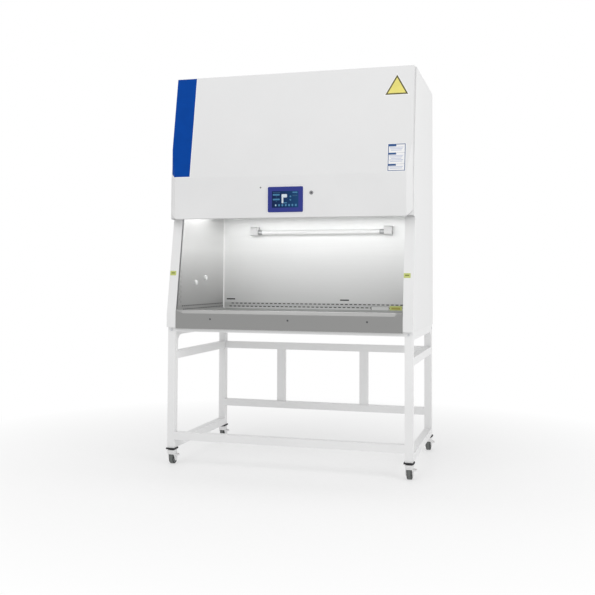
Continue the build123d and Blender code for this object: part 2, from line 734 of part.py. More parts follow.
# ---------------------------------------------------------------- sash
SASH_FOOT = up_slope(SASH_LOW) + RAISE
GLASS_X = INNER + GLASS_GRIP
with BuildPart() as sash_glass:
    slope_block((-GLASS_X, GLASS_X), (SASH_FOOT, SASH_FOOT + GLASS_HIGH), (-GLASS_SET - GLASS, -GLASS_SET))
save(sash_glass, "sash_glass")

with BuildPart() as sash_handle:
    slope_block(
        (-INNER + HANDLE_INSET, INNER - HANDLE_INSET),
        (SASH_FOOT, SASH_FOOT + HANDLE_HIGH),
        (-GLASS_SET, HANDLE_OUT),
    )
save(sash_handle, "sash_handle")

# Grooved guides behind the pillars, closed at the foot as a stop for the glass.
with BuildPart() as sash_guides:
    rise = (up_slope(SASH_LOW) - GUIDE_FOOT, up_slope(PILLAR_TOP))
    groove_out = (-GLASS_SET - GLASS - GUIDE_SLOP, -GLASS_SET + GUIDE_SLOP)
    for side in (-1, 1):
        rail = mirrored((INNER + LINER, GLASS_X + GUIDE_WALL), side)
        slope_block(rail, rise, (-GUIDE_DEEP, -SKIN))
        groove = mirrored((INNER + LINER, GLASS_X + GUIDE_SLOP), side)
        slope_block(groove, (up_slope(SASH_LOW), rise[1]), groove_out, Mode.SUBTRACT)
save(sash_guides, "sash_guides")

with BuildPart() as work_light:
    rise = [up_slope(COVER_BOTTOM) + part for part in LIGHT_RISE]
    slope_block((-HALF + LIGHT_INSET, HALF - LIGHT_INSET), rise, (0, LIGHT_OUT))
    slope_block(
        (-INNER + LIGHT_INSET, INNER - LIGHT_INSET),
        (rise[0], rise[0] + LIGHT_RECESS),
        (LIGHT_EDGE, LIGHT_OUT - LIGHT_EDGE),
        Mode.SUBTRACT,
    )
save(work_light, "work_light")


# ---------------------------------------------------------------- air system
PLENUM_Y = (FRONT + PLENUM_FRONT, WALL_Y - FILTER_GAP)
FILTER_HALF = INNER - FILTER_INSET
FILTER_LOW = SHELF_Z + SKIN
PLENUM_LOW = FILTER_LOW + SUPPLY_HIGH
with BuildPart() as filter_shelf:
    block((-PAN_HALF, PAN_HALF), (FRONT + SHELF_FRONT, WALL_Y + LINER), (SHELF_Z, FILTER_LOW))
    block(
        (-FILTER_HALF + FILTER_EDGE, FILTER_HALF - FILTER_EDGE),
        (PLENUM_Y[0] + FILTER_EDGE, PLENUM_Y[1] - FILTER_EDGE),
        (SHELF_Z, FILTER_LOW),
        Mode.SUBTRACT,
    )
save(filter_shelf, "filter_shelf")

# Perforated pan below the filter, hung from the shelf.
SPREAD_X = (-INNER + DIFFUSER_GAP, INNER - DIFFUSER_GAP)
SPREAD_Y = (FRONT + SHELF_FRONT + DIFFUSER_GAP, WALL_Y - DIFFUSER_GAP)
SPREAD_COLUMNS = int((SPREAD_X[1] - SPREAD_X[0]) // SPREAD_PITCH) - 1
SPREAD_ROWS = int((SPREAD_Y[1] - SPREAD_Y[0]) // SPREAD_PITCH)
with BuildPart() as diffuser:
    block(SPREAD_X, SPREAD_Y, (SHELF_Z - DIFFUSER_HIGH, SHELF_Z))
    block(
        (SPREAD_X[0] + LINER, SPREAD_X[1] - LINER),
        (SPREAD_Y[0] + LINER, SPREAD_Y[1] - LINER),
        (SHELF_Z - DIFFUSER_HIGH + LINER, SHELF_Z),
        Mode.SUBTRACT,
    )
    with BuildSketch(Plane.XY.offset(SHELF_Z - DIFFUSER_HIGH)):
        with Locations((0, sum(SPREAD_Y) / 2)):
            with GridLocations(SPREAD_PITCH, SPREAD_PITCH, SPREAD_COLUMNS, SPREAD_ROWS):
                Rectangle(*SPREAD_WINDOW)
    extrude(amount=LINER, mode=Mode.SUBTRACT)
save(diffuser, "diffuser")

with BuildPart() as supply_filter:
    block((-FILTER_HALF, FILTER_HALF), PLENUM_Y, (FILTER_LOW, PLENUM_LOW))
    block(
        (-FILTER_HALF + FILTER_EDGE, FILTER_HALF - FILTER_EDGE),
        (PLENUM_Y[0] + FILTER_EDGE, PLENUM_Y[1] - FILTER_EDGE),
        (FILTER_LOW, FILTER_LOW + FILTER_RECESS),
        Mode.SUBTRACT,
    )
save(supply_filter, "supply_filter")

FAN_X = INNER - FAN_INSET[0]
FAN_Y = WALL_Y - FAN_INSET[1]
FAN_Z = PLENUM_TOP + FAN_UP
SCROLL_RADII = [FAN_R + SCROLL_GAP + k * SCROLL_STEP for k in range(4)]
SHIFT = SCROLL_STEP / 2
OUTLET_Y = (OUTLET_FRONT, SHIFT + SCROLL_RADII[3])
ARC_CENTRES = ((-SHIFT, -SHIFT), (-SHIFT, SHIFT), (SHIFT, SHIFT), (SHIFT, -SHIFT))
ARC_STARTS = (270, 180, 90, 0)

# Plenum over the filter, with the duct that carries part of the air up to the exhaust.
EXHAUST_LOW = TOP - SKIN - EXHAUST_HIGH
DUCT_X = (EXHAUST_X[0] + SKIN, EXHAUST_X[1] - SKIN)
DUCT_Y = (EXHAUST_Y[0] + SKIN, EXHAUST_Y[1] - SKIN)
with BuildPart() as plenum:
    block((-FILTER_HALF, FILTER_HALF), PLENUM_Y, (PLENUM_LOW, PLENUM_TOP))
    block(
        (-FILTER_HALF + SKIN, FILTER_HALF - SKIN),
        (PLENUM_Y[0] + SKIN, PLENUM_Y[1] - SKIN),
        (PLENUM_LOW, PLENUM_TOP - SKIN),
        Mode.SUBTRACT,
    )
    block(
        (FAN_X - SCROLL_HALF + SKIN, FAN_X + SCROLL_HALF - SKIN),
        (FAN_Y + OUTLET_Y[0] + SKIN, FAN_Y + OUTLET_Y[1] - SKIN),
        (PLENUM_TOP - SKIN, PLENUM_TOP),
        Mode.SUBTRACT,
    )
    block(EXHAUST_X, EXHAUST_Y, (PLENUM_TOP, EXHAUST_LOW))
    block(DUCT_X, DUCT_Y, (PLENUM_TOP - SKIN, EXHAUST_LOW), Mode.SUBTRACT)
save(plenum, "plenum")


def fan_plane(x):
    return Plane(origin=(x, FAN_Y, FAN_Z), x_dir=(0, 1, 0), z_dir=(1, 0, 0))


def scroll_face(inset):
    """The scroll's side outline, four quarter arcs that grow towards the outlet, drawn in by an inset."""
    with BuildSketch() as outline:
        with BuildLine():
            tongue = CenterArc(ARC_CENTRES[0], SCROLL_RADII[0] - inset, ARC_STARTS[0], TONGUE)
            for centre, radius, start in zip(ARC_CENTRES[1:], SCROLL_RADII[1:], ARC_STARTS[1:]):
                CenterArc(centre, radius - inset, start, 90)
            front, rear = OUTLET_Y[0] + inset, OUTLET_Y[1] - inset
            Polyline(tongue @ 1, (front, -FAN_UP), (rear, -FAN_UP), (rear, -SHIFT))
        make_face()
    return outline.sketch


outer_scroll = scroll_face(0)
inner_scroll = scroll_face(SKIN)
with BuildPart() as blower_housing:
    with BuildSketch(fan_plane(FAN_X - SCROLL_HALF)):
        add(outer_scroll)
    extrude(amount=2 * SCROLL_HALF)
    with BuildSketch(fan_plane(FAN_X - SCROLL_HALF + SKIN)):
        add(inner_scroll)
    extrude(amount=2 * (SCROLL_HALF - SKIN), mode=Mode.SUBTRACT)
    rod((FAN_X - SCROLL_HALF, FAN_Y, FAN_Z), BLADE_IN, SKIN, (1, 0, 0), Mode.SUBTRACT)
    rod((FAN_X + SCROLL_HALF - SKIN, FAN_Y, FAN_Z), 4 * SHAFT_R, SKIN, (1, 0, 0), Mode.SUBTRACT)
save(blower_housing, "blower_housing")

# Forward-curved impeller: blade ring between a front ring and a back plate, hub and shaft.
IMPELLER_HALF = SCROLL_HALF - SIDE_GAP
BLADE_DEEP = FAN_R - BLADE_IN - 1
with BuildSketch() as blade:
    with BuildLine():
        RadiusArc((0, 0), (BLADE_DEEP, BLADE_HOOK), BLADE_CURVE)
        Line((BLADE_DEEP, BLADE_HOOK), (BLADE_DEEP, BLADE_HOOK - BLADE_THICK))
        RadiusArc((BLADE_DEEP, BLADE_HOOK - BLADE_THICK), (0, -BLADE_THICK), -BLADE_CURVE)
        Line((0, -BLADE_THICK), (0, 0))
    make_face()
with BuildPart() as blower_impeller:
    with BuildSketch(fan_plane(FAN_X - IMPELLER_HALF + SKIN / 2)):
        with PolarLocations(BLADE_IN, FAN_BLADES):
            add(blade.sketch)
    extrude(amount=2 * IMPELLER_HALF - SKIN)
    rod((FAN_X + IMPELLER_HALF - SKIN, FAN_Y, FAN_Z), FAN_R, SKIN, (1, 0, 0))
    with BuildSketch(fan_plane(FAN_X - IMPELLER_HALF)):
        Circle(FAN_R)
        Circle(BLADE_IN - SKIN, mode=Mode.SUBTRACT)
    extrude(amount=SKIN)
    rod((FAN_X, FAN_Y, FAN_Z), FAN_HUB_R, IMPELLER_HALF, (1, 0, 0))
    rod((FAN_X, FAN_Y, FAN_Z), SHAFT_R, SCROLL_HALF + MOTOR_LONG / 2, (1, 0, 0))
save(blower_impeller, "blower_impeller")

MOTOR_X = FAN_X + SCROLL_HALF
with BuildPart() as blower_motor:
    rod((MOTOR_X, FAN_Y, FAN_Z), MOTOR_PLATE_R, SKIN, (1, 0, 0))
    rod((MOTOR_X, FAN_Y, FAN_Z), MOTOR_R, MOTOR_LONG, (1, 0, 0))
    with BuildSketch(fan_plane(MOTOR_X)):
        with PolarLocations(MOTOR_R, MOTOR_FINS):
            Rectangle(*MOTOR_FIN)
    extrude(amount=MOTOR_LONG - MOTOR_FIN[0])
    rod((MOTOR_X, FAN_Y, FAN_Z), SHAFT_R + RUNNING, MOTOR_LONG / 2 + 1, (1, 0, 0), Mode.SUBTRACT)
save(blower_motor, "blower_motor")

with BuildPart() as exhaust_filter:
    block(GUARD_X, GUARD_Y, (EXHAUST_LOW, TOP - SKIN))
    block(EXHAUST_X, EXHAUST_Y, (TOP - SKIN - FILTER_EDGE, TOP - SKIN), Mode.SUBTRACT)
save(exhaust_filter, "exhaust_filter")

CONTROL_X = -INNER + CONTROL_INSET
CONTROL_Y = PLENUM_Y[0] + CONTROL_INSET
with BuildPart() as control_box:
    block(
        (CONTROL_X, CONTROL_X + CONTROL[0]),
        (CONTROL_Y, CONTROL_Y + CONTROL[1]),
        (PLENUM_TOP, PLENUM_TOP + CONTROL[2]),
    )
    fillet(control_box.edges().filter_by(Axis.Z), radius=CONTROL_EDGE)
save(control_box, "control_box")


# ---------------------------------------------------------------- front cover
COVER_HALF = HALF - COVER_SIDE_GAP
BEVEL_DEEP = COVER_DEEP - SKIN
SCREEN_BODY_X = (SCREEN_X - SCREEN_BODY[0] / 2, SCREEN_X + SCREEN_BODY[0] / 2)
SCREEN_BODY_Z = (SCREEN_Z - SCREEN_BODY[1] / 2, SCREEN_Z + SCREEN_BODY[1] / 2)
DISPLAY_X = (SCREEN_X - DISPLAY[0] / 2, SCREEN_X + DISPLAY[0] / 2)
DISPLAY_Z = (SCREEN_Z - DISPLAY[1] / 2, SCREEN_Z + DISPLAY[1] / 2)
BEZEL_Y = FACE_Y - SCREEN_PROUD


def cover_outline(inset):
    """Side outline of the cover, drawn in from its outer face by an inset."""
    face, rear = FACE_Y + inset, FACE_Y + COVER_DEEP
    top_shift = (TOP - COVER_FOLD) * LEAN
    return [
        (face, COVER_BOTTOM + inset),
        (face, COVER_FOLD),
        (face + top_shift - inset * LEAN, TOP - inset),
        (rear + top_shift, TOP - inset),
        (rear, COVER_FOLD),
        (rear, COVER_BOTTOM + inset),
    ]


def cover_shape(inset):
    """The cover's solid with its side bevels and lower corners, drawn in by an inset."""
    half = COVER_HALF - inset
    with BuildPart() as shape:
        with BuildSketch(at_x(-half)):
            with BuildLine():
                Polyline(cover_outline(inset), close=True)
            make_face()
        extrude(amount=2 * half)
        for side in (-1, 1):
            with BuildSketch(Plane.XY.offset(COVER_BOTTOM)):
                with BuildLine():
                    Polyline(
                        (side * (COVER_HALF - COVER_BEVEL), FACE_Y - COVER_DEEP + inset),
                        (side * (COVER_HALF - COVER_BEVEL - inset / 2), FACE_Y + inset / 2),
                        (side * COVER_HALF, FACE_Y + BEVEL_DEEP + inset / 2),
                        (side * (COVER_HALF + SKIN), FACE_Y - COVER_DEEP + inset),
                        close=True,
                    )
                make_face()
            extrude(amount=TOP - COVER_BOTTOM, mode=Mode.SUBTRACT)
            with BuildSketch(at_y(FACE_Y)):
                with BuildLine():
                    Polyline(
                        (side * COVER_HALF, COVER_BOTTOM),
                        (side * (COVER_HALF - COVER_CORNER - inset / 2), COVER_BOTTOM),
                        (side * COVER_HALF, COVER_BOTTOM + COVER_CORNER + inset / 2),
                        close=True,
                    )
                make_face()
            extrude(amount=-COVER_DEEP, mode=Mode.SUBTRACT)
    return shape.part


outer_cover = cover_shape(0)
inner_cover = cover_shape(SKIN)
with BuildPart() as front_cover:
    add(outer_cover)
    add(inner_cover, mode=Mode.SUBTRACT)
    # The return under the fascia.
    lip_half = COVER_HALF - COVER_CORNER - SKIN
    block((-lip_half, lip_half), (FACE_Y + SKIN, FACE_Y + COVER_LIP), (COVER_BOTTOM, COVER_BOTTOM + SKIN))
    block(SCREEN_BODY_X, (FACE_Y, FACE_Y + SKIN), SCREEN_BODY_Z, Mode.SUBTRACT)
    rod((LOCK[0], FACE_Y, LOCK[1]), LOCK_R, SKIN, (0, 1, 0), Mode.SUBTRACT)
    rod((LAMP_DOT[0], FACE_Y, LAMP_DOT[1]), DOT_R, SKIN, (0, 1, 0), Mode.SUBTRACT)
save(front_cover, "front_cover")

with BuildPart() as screen_bezel:
    with BuildSketch(at_y(FACE_Y)):
        with Locations((SCREEN_X, SCREEN_Z)):
            RectangleRounded(*SCREEN, SCREEN_PROUD)
    extrude(amount=SCREEN_PROUD)
    chamfer(screen_bezel.faces().sort_by(Axis.Y)[0].edges(), length=SCREEN_CHAMFER)
    block(SCREEN_BODY_X, (FACE_Y, FACE_Y + COVER_DEEP - SCREEN_PROUD), SCREEN_BODY_Z)
    block(DISPLAY_X, (BEZEL_Y, BEZEL_Y + DISPLAY_THICK), DISPLAY_Z, Mode.SUBTRACT)
save(screen_bezel, "screen_bezel")

with BuildPart() as touch_screen:
    block(DISPLAY_X, (BEZEL_Y, BEZEL_Y + DISPLAY_THICK), DISPLAY_Z)
save(touch_screen, "touch_screen")

with BuildPart() as status_lamp:
    rod((LAMP_DOT[0], FACE_Y - DOT_PROUD, LAMP_DOT[1]), DOT_R, SKIN + DOT_R, (0, 1, 0))
    chamfer(status_lamp.edges().group_by(Axis.Y)[0], length=DOT_PROUD / 2)
save(status_lamp, "status_lamp")

with BuildPart() as lock_barrel:
    rod((LOCK[0], FACE_Y - LOCK_FLANGE, LOCK[1]), LOCK_R + LOCK_FLANGE, LOCK_FLANGE, (0, 1, 0))
    rod((LOCK[0], FACE_Y, LOCK[1]), LOCK_R, LOCK_DEEP, (0, 1, 0))
    bore = LOCK_PLUG_R + RUNNING
    rod((LOCK[0], FACE_Y - LOCK_FLANGE, LOCK[1]), bore, LOCK_DEEP + LOCK_FLANGE, (0, 1, 0), Mode.SUBTRACT)
save(lock_barrel, "lock_barrel")

# Turning plug with its keyway in front and the locking cam behind.
PLUG_FRONT = FACE_Y - LOCK_FLANGE - KEY_PROUD
CAM_Y = FACE_Y + LOCK_DEEP + CLEAR
with BuildPart() as lock_plug:
    rod((LOCK[0], PLUG_FRONT, LOCK[1]), LOCK_PLUG_R, CAM_Y + CAM_THICK - PLUG_FRONT, (0, 1, 0))
    block(
        (LOCK[0] - KEYWAY[0] / 2, LOCK[0] + KEYWAY[0] / 2),
        (PLUG_FRONT, PLUG_FRONT + KEYWAY[2]),
        (LOCK[1] - KEYWAY[1] / 2, LOCK[1] + KEYWAY[1] / 2),
        Mode.SUBTRACT,
    )
    block(
        (LOCK[0] - CAM_HALF, LOCK[0] + CAM_HALF),
        (CAM_Y, CAM_Y + CAM_THICK),
        (LOCK[1] - CAM_LONG, LOCK[1] + CAM_HALF),
    )
save(lock_plug, "lock_plug")

# Hinges at the top shut line: eyes and pins on the case, knuckles on the cover.
HINGE_MIDDLES = (-HALF + COVER_HINGE_INSET, HALF - COVER_HINGE_INSET)
SHEET_Z = (TOP - SKIN - HINGE_SHEET, TOP - SKIN)
with BuildPart() as hinge_brackets:
    for middle in HINGE_MIDDLES:
        for turn in (-1, 1):
            near = middle + turn * (HINGE_LEAF / 2 + CLEAR)
            ear = sorted((near, near + turn * HINGE_EAR))
            rod((ear[0], HINGE_Y, HINGE_Z), HINGE_R, HINGE_EAR, (1, 0, 0))
            block(ear, (HINGE_Y, TOP_FRONT + HINGE_EAR), SHEET_Z)
        pin_half = HINGE_LEAF / 2 + CLEAR + HINGE_EAR
        rod((middle - pin_half, HINGE_Y, HINGE_Z), HINGE_PIN_R, 2 * pin_half, (1, 0, 0))
save(hinge_brackets, "hinge_brackets")

with BuildPart() as hinge_leaves:
    for middle in HINGE_MIDDLES:
        across = (middle - HINGE_LEAF / 2, middle + HINGE_LEAF / 2)
        rod((across[0], HINGE_Y, HINGE_Z), HINGE_R, HINGE_LEAF, (1, 0, 0))
        block(across, (TOP_COVER_Y + 2 * SKIN, HINGE_Y), SHEET_Z)
        rod((across[0], HINGE_Y, HINGE_Z), HINGE_PIN_R + RUNNING, HINGE_LEAF, (1, 0, 0), Mode.SUBTRACT)
save(hinge_leaves, "hinge_leaves")


# ---------------------------------------------------------------- services
DRAIN_X = -INNER + DRAIN_INSET[0]
DRAIN_Y = WALL_Y - DRAIN_INSET[1]
VALVE_Z = UNDERSIDE - VALVE_DROP
SPIGOT_FOOT = VALVE_Z - VALVE_HALF[2] - SPIGOT_LONG
GLAND_Y = DRAIN_Y - VALVE_HALF[1] - GLAND_LONG
LEVER_Y = GLAND_Y - CLEAR - LEVER_THICK
with BuildPart() as drain_valve:
    block(
        (DRAIN_X - VALVE_HALF[0], DRAIN_X + VALVE_HALF[0]),
        (DRAIN_Y - VALVE_HALF[1], DRAIN_Y + VALVE_HALF[1]),
        (VALVE_Z - VALVE_HALF[2], VALVE_Z + VALVE_HALF[2]),
    )
    fillet(drain_valve.edges().filter_by(Axis.Z), radius=VALVE_EDGE)
    rod((DRAIN_X, DRAIN_Y, UNDERSIDE - DRAIN_FLANGE[1]), DRAIN_FLANGE[0], DRAIN_FLANGE[1], (0, 0, 1))
    rod((DRAIN_X, DRAIN_Y, VALVE_Z), DRAIN_NECK_R, VALVE_DROP, (0, 0, 1))
    rod((DRAIN_X, DRAIN_Y, SPIGOT_FOOT), SPIGOT_R, SPIGOT_LONG, (0, 0, 1))
    rod((DRAIN_X, DRAIN_Y, SPIGOT_FOOT), SPIGOT_BORE_R, SPIGOT_LONG + VALVE_EDGE, (0, 0, 1), Mode.SUBTRACT)
    rod((DRAIN_X, GLAND_Y, VALVE_Z), GLAND_R, GLAND_LONG, (0, 1, 0))
    rod((DRAIN_X, GLAND_Y, VALVE_Z), STEM_R + RUNNING, 2 * GLAND_LONG, (0, 1, 0), Mode.SUBTRACT)
save(drain_valve, "drain_valve")

with BuildPart() as drain_lever:
    rod((DRAIN_X, LEVER_Y - LEVER_THICK, VALVE_Z), STEM_R, 2 * GLAND_LONG + LEVER_THICK, (0, 1, 0))
    with BuildSketch(at_y(LEVER_Y + LEVER_THICK)):
        with Locations((DRAIN_X + (LEVER[0] - LEVER[1]) / 2, VALVE_Z)):
            SlotOverall(*LEVER)
    extrude(amount=LEVER_THICK)
save(drain_lever, "drain_lever")

SOCKET_DEEP = INLET_DEEP - INLET_FLANGE
with BuildPart() as power_inlet:
    block(
        (INLET_X - INLET[0] / 2, INLET_X + INLET[0] / 2),
        (BACK, BACK + INLET_FLANGE),
        (INLET_Z - INLET[1] / 2, INLET_Z + INLET[1] / 2),
    )
    fillet(power_inlet.edges().filter_by(Axis.Y), radius=INLET_CORNER)
    block(INLET_BODY_X, (BACK - INLET_DEEP, BACK), INLET_BODY_Z)
    block(
        (INLET_X - SOCKET[0] / 2, INLET_X + SOCKET[0] / 2),
        (BACK - SOCKET_DEEP, BACK + INLET_FLANGE),
        (INLET_Z - SOCKET[1] / 2, INLET_Z + SOCKET[1] / 2),
        Mode.SUBTRACT,
    )
    for dx in (-PIN_PITCH, 0, PIN_PITCH):
        block(
            (INLET_X + dx - INLET_PIN[0] / 2, INLET_X + dx + INLET_PIN[0] / 2),
            (BACK - SOCKET_DEEP, BACK - SKIN),
            (INLET_Z - INLET_PIN[1] / 2, INLET_Z + INLET_PIN[1] / 2),
        )
save(power_inlet, "power_inlet")
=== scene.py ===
# %% [markdown]
# # A biosafety cabinet on a wheeled stand
#
# This lesson dresses a finished engineering model: a white steel cabinet with a stainless work
# chamber, on a tube stand with four casters. The shapes come packed, in metres, and each one
# belongs to a body that can move, so our work is finishes, small fitted pieces, light and a view.

# %% Load the model and keep its size
import math

import bmesh
import bpy
from mathutils import Matrix, Vector


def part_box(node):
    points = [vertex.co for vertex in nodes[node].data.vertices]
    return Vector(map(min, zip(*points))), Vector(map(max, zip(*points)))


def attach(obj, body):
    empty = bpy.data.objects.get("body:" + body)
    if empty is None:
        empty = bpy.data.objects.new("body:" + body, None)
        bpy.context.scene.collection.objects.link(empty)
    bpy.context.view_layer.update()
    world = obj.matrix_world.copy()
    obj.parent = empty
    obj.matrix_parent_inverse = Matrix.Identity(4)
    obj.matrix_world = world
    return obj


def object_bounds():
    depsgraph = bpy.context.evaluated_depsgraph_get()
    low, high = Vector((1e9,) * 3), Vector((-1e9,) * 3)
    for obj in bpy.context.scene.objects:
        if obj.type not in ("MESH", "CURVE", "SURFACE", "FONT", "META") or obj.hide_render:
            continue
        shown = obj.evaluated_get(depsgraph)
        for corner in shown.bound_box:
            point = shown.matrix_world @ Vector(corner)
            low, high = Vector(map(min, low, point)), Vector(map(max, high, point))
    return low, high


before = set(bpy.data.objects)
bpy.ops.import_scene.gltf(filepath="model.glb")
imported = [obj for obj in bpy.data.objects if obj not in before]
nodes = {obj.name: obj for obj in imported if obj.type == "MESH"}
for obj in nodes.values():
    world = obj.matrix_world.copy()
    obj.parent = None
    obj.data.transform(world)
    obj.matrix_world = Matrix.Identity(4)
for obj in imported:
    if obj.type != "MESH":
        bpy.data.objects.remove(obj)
cad_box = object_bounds()
print(f"{len(nodes)} nodes, box {[round(v, 3) for v in cad_box[1] - cad_box[0]]} m")

# %% [markdown]
# ## Sizes read from the model
#
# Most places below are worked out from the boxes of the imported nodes, so that a fitted piece
# still sits on its carrier when the engineering model changes. Sizes that the real thing fixes,
# such as a lean of ten degrees, and the spots of cards and screws are written as numbers.

# %% Read the planes that the fitted pieces sit on
MM = 0.001
LEAN = math.radians(10)
COVER_DEEP = 30.0

cover_low, cover_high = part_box("front_cover")
back_low, back_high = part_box("chamber_wall_back")
face_y = cover_low.y
front_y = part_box("front_pillars")[0].y
wall_y = back_low.y
fold_z = cover_high.z - (cover_high.y - COVER_DEEP * MM - face_y) / math.tan(LEAN)
foot_z = 0.793  # where the pillars start to lean
print(f"fascia at y {face_y:.3f}, fold at z {fold_z:.3f}, back wall at y {wall_y:.3f}")


# %% [markdown]
# ## Small wiring helpers for finishes
#
# A Blender finish is a graph. Most finishes here start alike: a principled shader, a set of
# object coordinates stretched along the grain, noise, and a little bump. A few short helpers
# keep the finishes readable, and each finish then says only what is special about it.

# %% Helpers for finishes
def new_finish(name, roughness=0.5, metallic=0.0, colour=(0.8, 0.8, 0.8)):
    """A material with a principled shader, whose constants go straight on its sockets."""
    material = bpy.data.materials.new(name)
    material.use_nodes = True
    shader = material.node_tree.nodes["Principled BSDF"]
    shader.inputs["Base Color"].default_value = (*colour, 1)
    shader.inputs["Roughness"].default_value = roughness
    shader.inputs["Metallic"].default_value = metallic
    return material, shader


def feed(material, value, socket):
    """Wires another node's output to a socket, or sets the socket to a plain value."""
    if hasattr(value, "is_output"):
        material.node_tree.links.new(value, socket)
    else:
        socket.default_value = value


def wire(material, output, node, socket):
    """Wires an output to the socket that a name gives."""
    feed(material, output, node.inputs[socket])


def add_node(material, kind, operation=None, **sockets):
    """A node of a kind, with the sockets that the keywords name fed."""
    node = material.node_tree.nodes.new(kind)
    if operation:
        node.operation = operation
    for name, value in sockets.items():
        feed(material, value, node.inputs[name.replace("_", " ")])
    return node


def reckon(material, kind, operation, *values):
    """A Math or Vector Math node, with the values fed in the order of its sockets."""
    node = add_node(material, kind, operation)
    for socket, value in zip(node.inputs, values):
        feed(material, value, socket)
    return node


def object_place(material, scale=(1, 1, 1)):
    """Object coordinates in metres, stretched along the axes."""
    place = add_node(material, "ShaderNodeTexCoord").outputs["Object"]
    return add_node(material, "ShaderNodeMapping", Vector=place, Scale=scale).outputs["Vector"]


def noise(material, place, scale, detail=3.0, rough=0.5):
    """Noise between 0 and 1; rough is how strong its finer layers are."""
    node = add_node(material, "ShaderNodeTexNoise", Vector=place, Scale=scale, Detail=detail)
    node.inputs["Roughness"].default_value = rough
    return node.outputs["Fac"]


def between(material, factor, low, high, start=0.0, end=1.0):
    """A number that runs from low to high as a factor runs from start to end."""
    node = add_node(material, "ShaderNodeMapRange", Value=factor)
    for name, value in zip(("From Min", "From Max", "To Min", "To Max"), (start, end, low, high)):
        node.inputs[name].default_value = value
    return node.outputs["Result"]


def tones(material, factor, *stops):
    """A colour ramp from (position, (r, g, b)) stops."""
    ramp = add_node(material, "ShaderNodeValToRGB", Fac=factor)
    band = ramp.color_ramp
    while len(band.elements) < len(stops):
        band.elements.new(0.5)
    for element, (position, colour) in zip(band.elements, stops):
        element.position = position
        element.color = (*colour, 1)
    return ramp.outputs["Color"]


def add_bump(material, shader, height, strength, distance):
    """A bump from a height between 0 and 1, as deep as the distance in metres."""
    bump = add_node(material, "ShaderNodeBump", Height=height, Strength=strength, Distance=distance)
    wire(material, bump.outputs["Normal"], shader, "Normal")


def grey(value, tint=(0, 0, 0)):
    """A grey, with a trace of colour where the tint gives one."""
    return tuple(value + t for t in tint)


# %% [markdown]
# ## Powder coat
#
# The case, cover and stand are sheet steel under a baked white powder. Powder flows out into a
# very fine orange peel, so the bump is a noise about a millimetre across that catches the light.
# A second, far wider noise keeps big panels from looking like cut paper: it moves the tone by a
# few percent, and makes some patches a little glossier than others.

# %% Powder coat for the case, the cover and the stand
PEEL = 0.04 * MM


def powder_coat(name, light, soil=0.03):
    """Baked powder, from the light tone down to one that soil darkens."""
    material, shader = new_finish(name, roughness=0.42)
    place = object_place(material)
    cloud = noise(material, place, 3.0, detail=4)
    grain = noise(material, place, 900.0, detail=1)
    dark = tuple(c * (1 - soil) for c in light)
    wire(material, tones(material, cloud, (0.35, dark), (0.65, light)), shader, "Base Color")
    wire(material, between(material, cloud, 0.36, 0.5, 0.3, 0.7), shader, "Roughness")
    add_bump(material, shader, grain, 0.35, PEEL)
    shader.inputs["Specular IOR Level"].default_value = 0.45
    return material


case_white = powder_coat("case_powder_coat", grey(0.80, (0, 0.002, 0.002)))
cover_white = powder_coat("cover_powder_coat", grey(0.76, (0, 0.001, 0.002)))
stand_white = powder_coat("stand_powder_coat", grey(0.83, (0, 0.001, 0.001)), soil=0.04)
inner_white = powder_coat("inner_powder_coat", grey(0.74), soil=0.06)
print("powder coats made")

# %% [markdown]
# ## Brushed stainless steel
#
# The chamber is stainless sheet with a long brushed grain. Brushing leaves scratches in one
# direction, so the noise is squeezed hard across the grain and stretched along it, and feeds
# roughness, tone and a shallow bump at once. Anisotropy then smears reflections across the
# grain, as on the real sheet. Larger clouds stand for wiping marks. The chamber walls' colour is
# also painted darker towards the worktop: painted shade, standing for the shaded room that the
# sheet mirrors low down in place of the ceiling. A faint darker band painted along the rows of
# slots darkens them a little more: partly dust, partly painted shade.

# %% Brushed stainless along X, Y or Z
GRAIN = {"X": (3, 700, 700), "Y": (700, 3, 700), "Z": (700, 700, 3)}
DUST_AND_SHADE_FROM, DUST_AND_SHADE_TO, DUST_AND_SHADE_FADE = 0.811, 0.835, (0.004, 0.005)


def stainless(name, light, along, rough, wipe=0.05, painted_low_shade=1.0, dust_and_shade=1.0):
    """Sheet brushed along an axis; painted_low_shade and dust_and_shade are how light its colour
    stays low down (painted shade) and at slots (dust and painted shade).
    """
    material, shader = new_finish(name, roughness=0.32, metallic=1.0)
    scratches = noise(material, object_place(material, GRAIN[along]), 1.0, detail=4, rough=0.65)
    wiping = noise(material, object_place(material, (2.0, 2.0, 5.0)), 1.0, detail=3)
    mixed = reckon(material, "ShaderNodeMath", "MULTIPLY_ADD", wiping, 0.45, scratches).outputs[0]
    dark = tuple(c * (1 - wipe) for c in light)
    brushed = tones(material, mixed, (0.5, dark), (0.95, light))
    where = add_node(material, "ShaderNodeSeparateXYZ", Vector=object_place(material))
    height = where.outputs["Z"]
    # painted shade: the colour darkens towards the worktop, a painted reflection of the shaded room
    colour = add_node(material, "ShaderNodeVectorMath", "SCALE", Vector=brushed,
                      Scale=between(material, height, painted_low_shade, 1.0, 0.82, 1.15)).outputs[0]
    # dust and painted shade: a darker band of colour along the rows of slots
    if dust_and_shade < 1:
        line = tones(material, height, (DUST_AND_SHADE_FROM - DUST_AND_SHADE_FADE[0], grey(1)), (DUST_AND_SHADE_FROM, grey(dust_and_shade)),
                     (DUST_AND_SHADE_TO, grey(dust_and_shade)), (DUST_AND_SHADE_TO + DUST_AND_SHADE_FADE[1], grey(1)))
        colour = reckon(material, "ShaderNodeVectorMath", "MULTIPLY", colour, line).outputs[0]
    wire(material, colour, shader, "Base Color")
    wire(material, between(material, mixed, *rough, 0.45, 1.0), shader, "Roughness")
    add_bump(material, shader, scratches, 0.25, 0.03 * MM)
    shader.inputs["Anisotropic"].default_value = 0.6
    return material


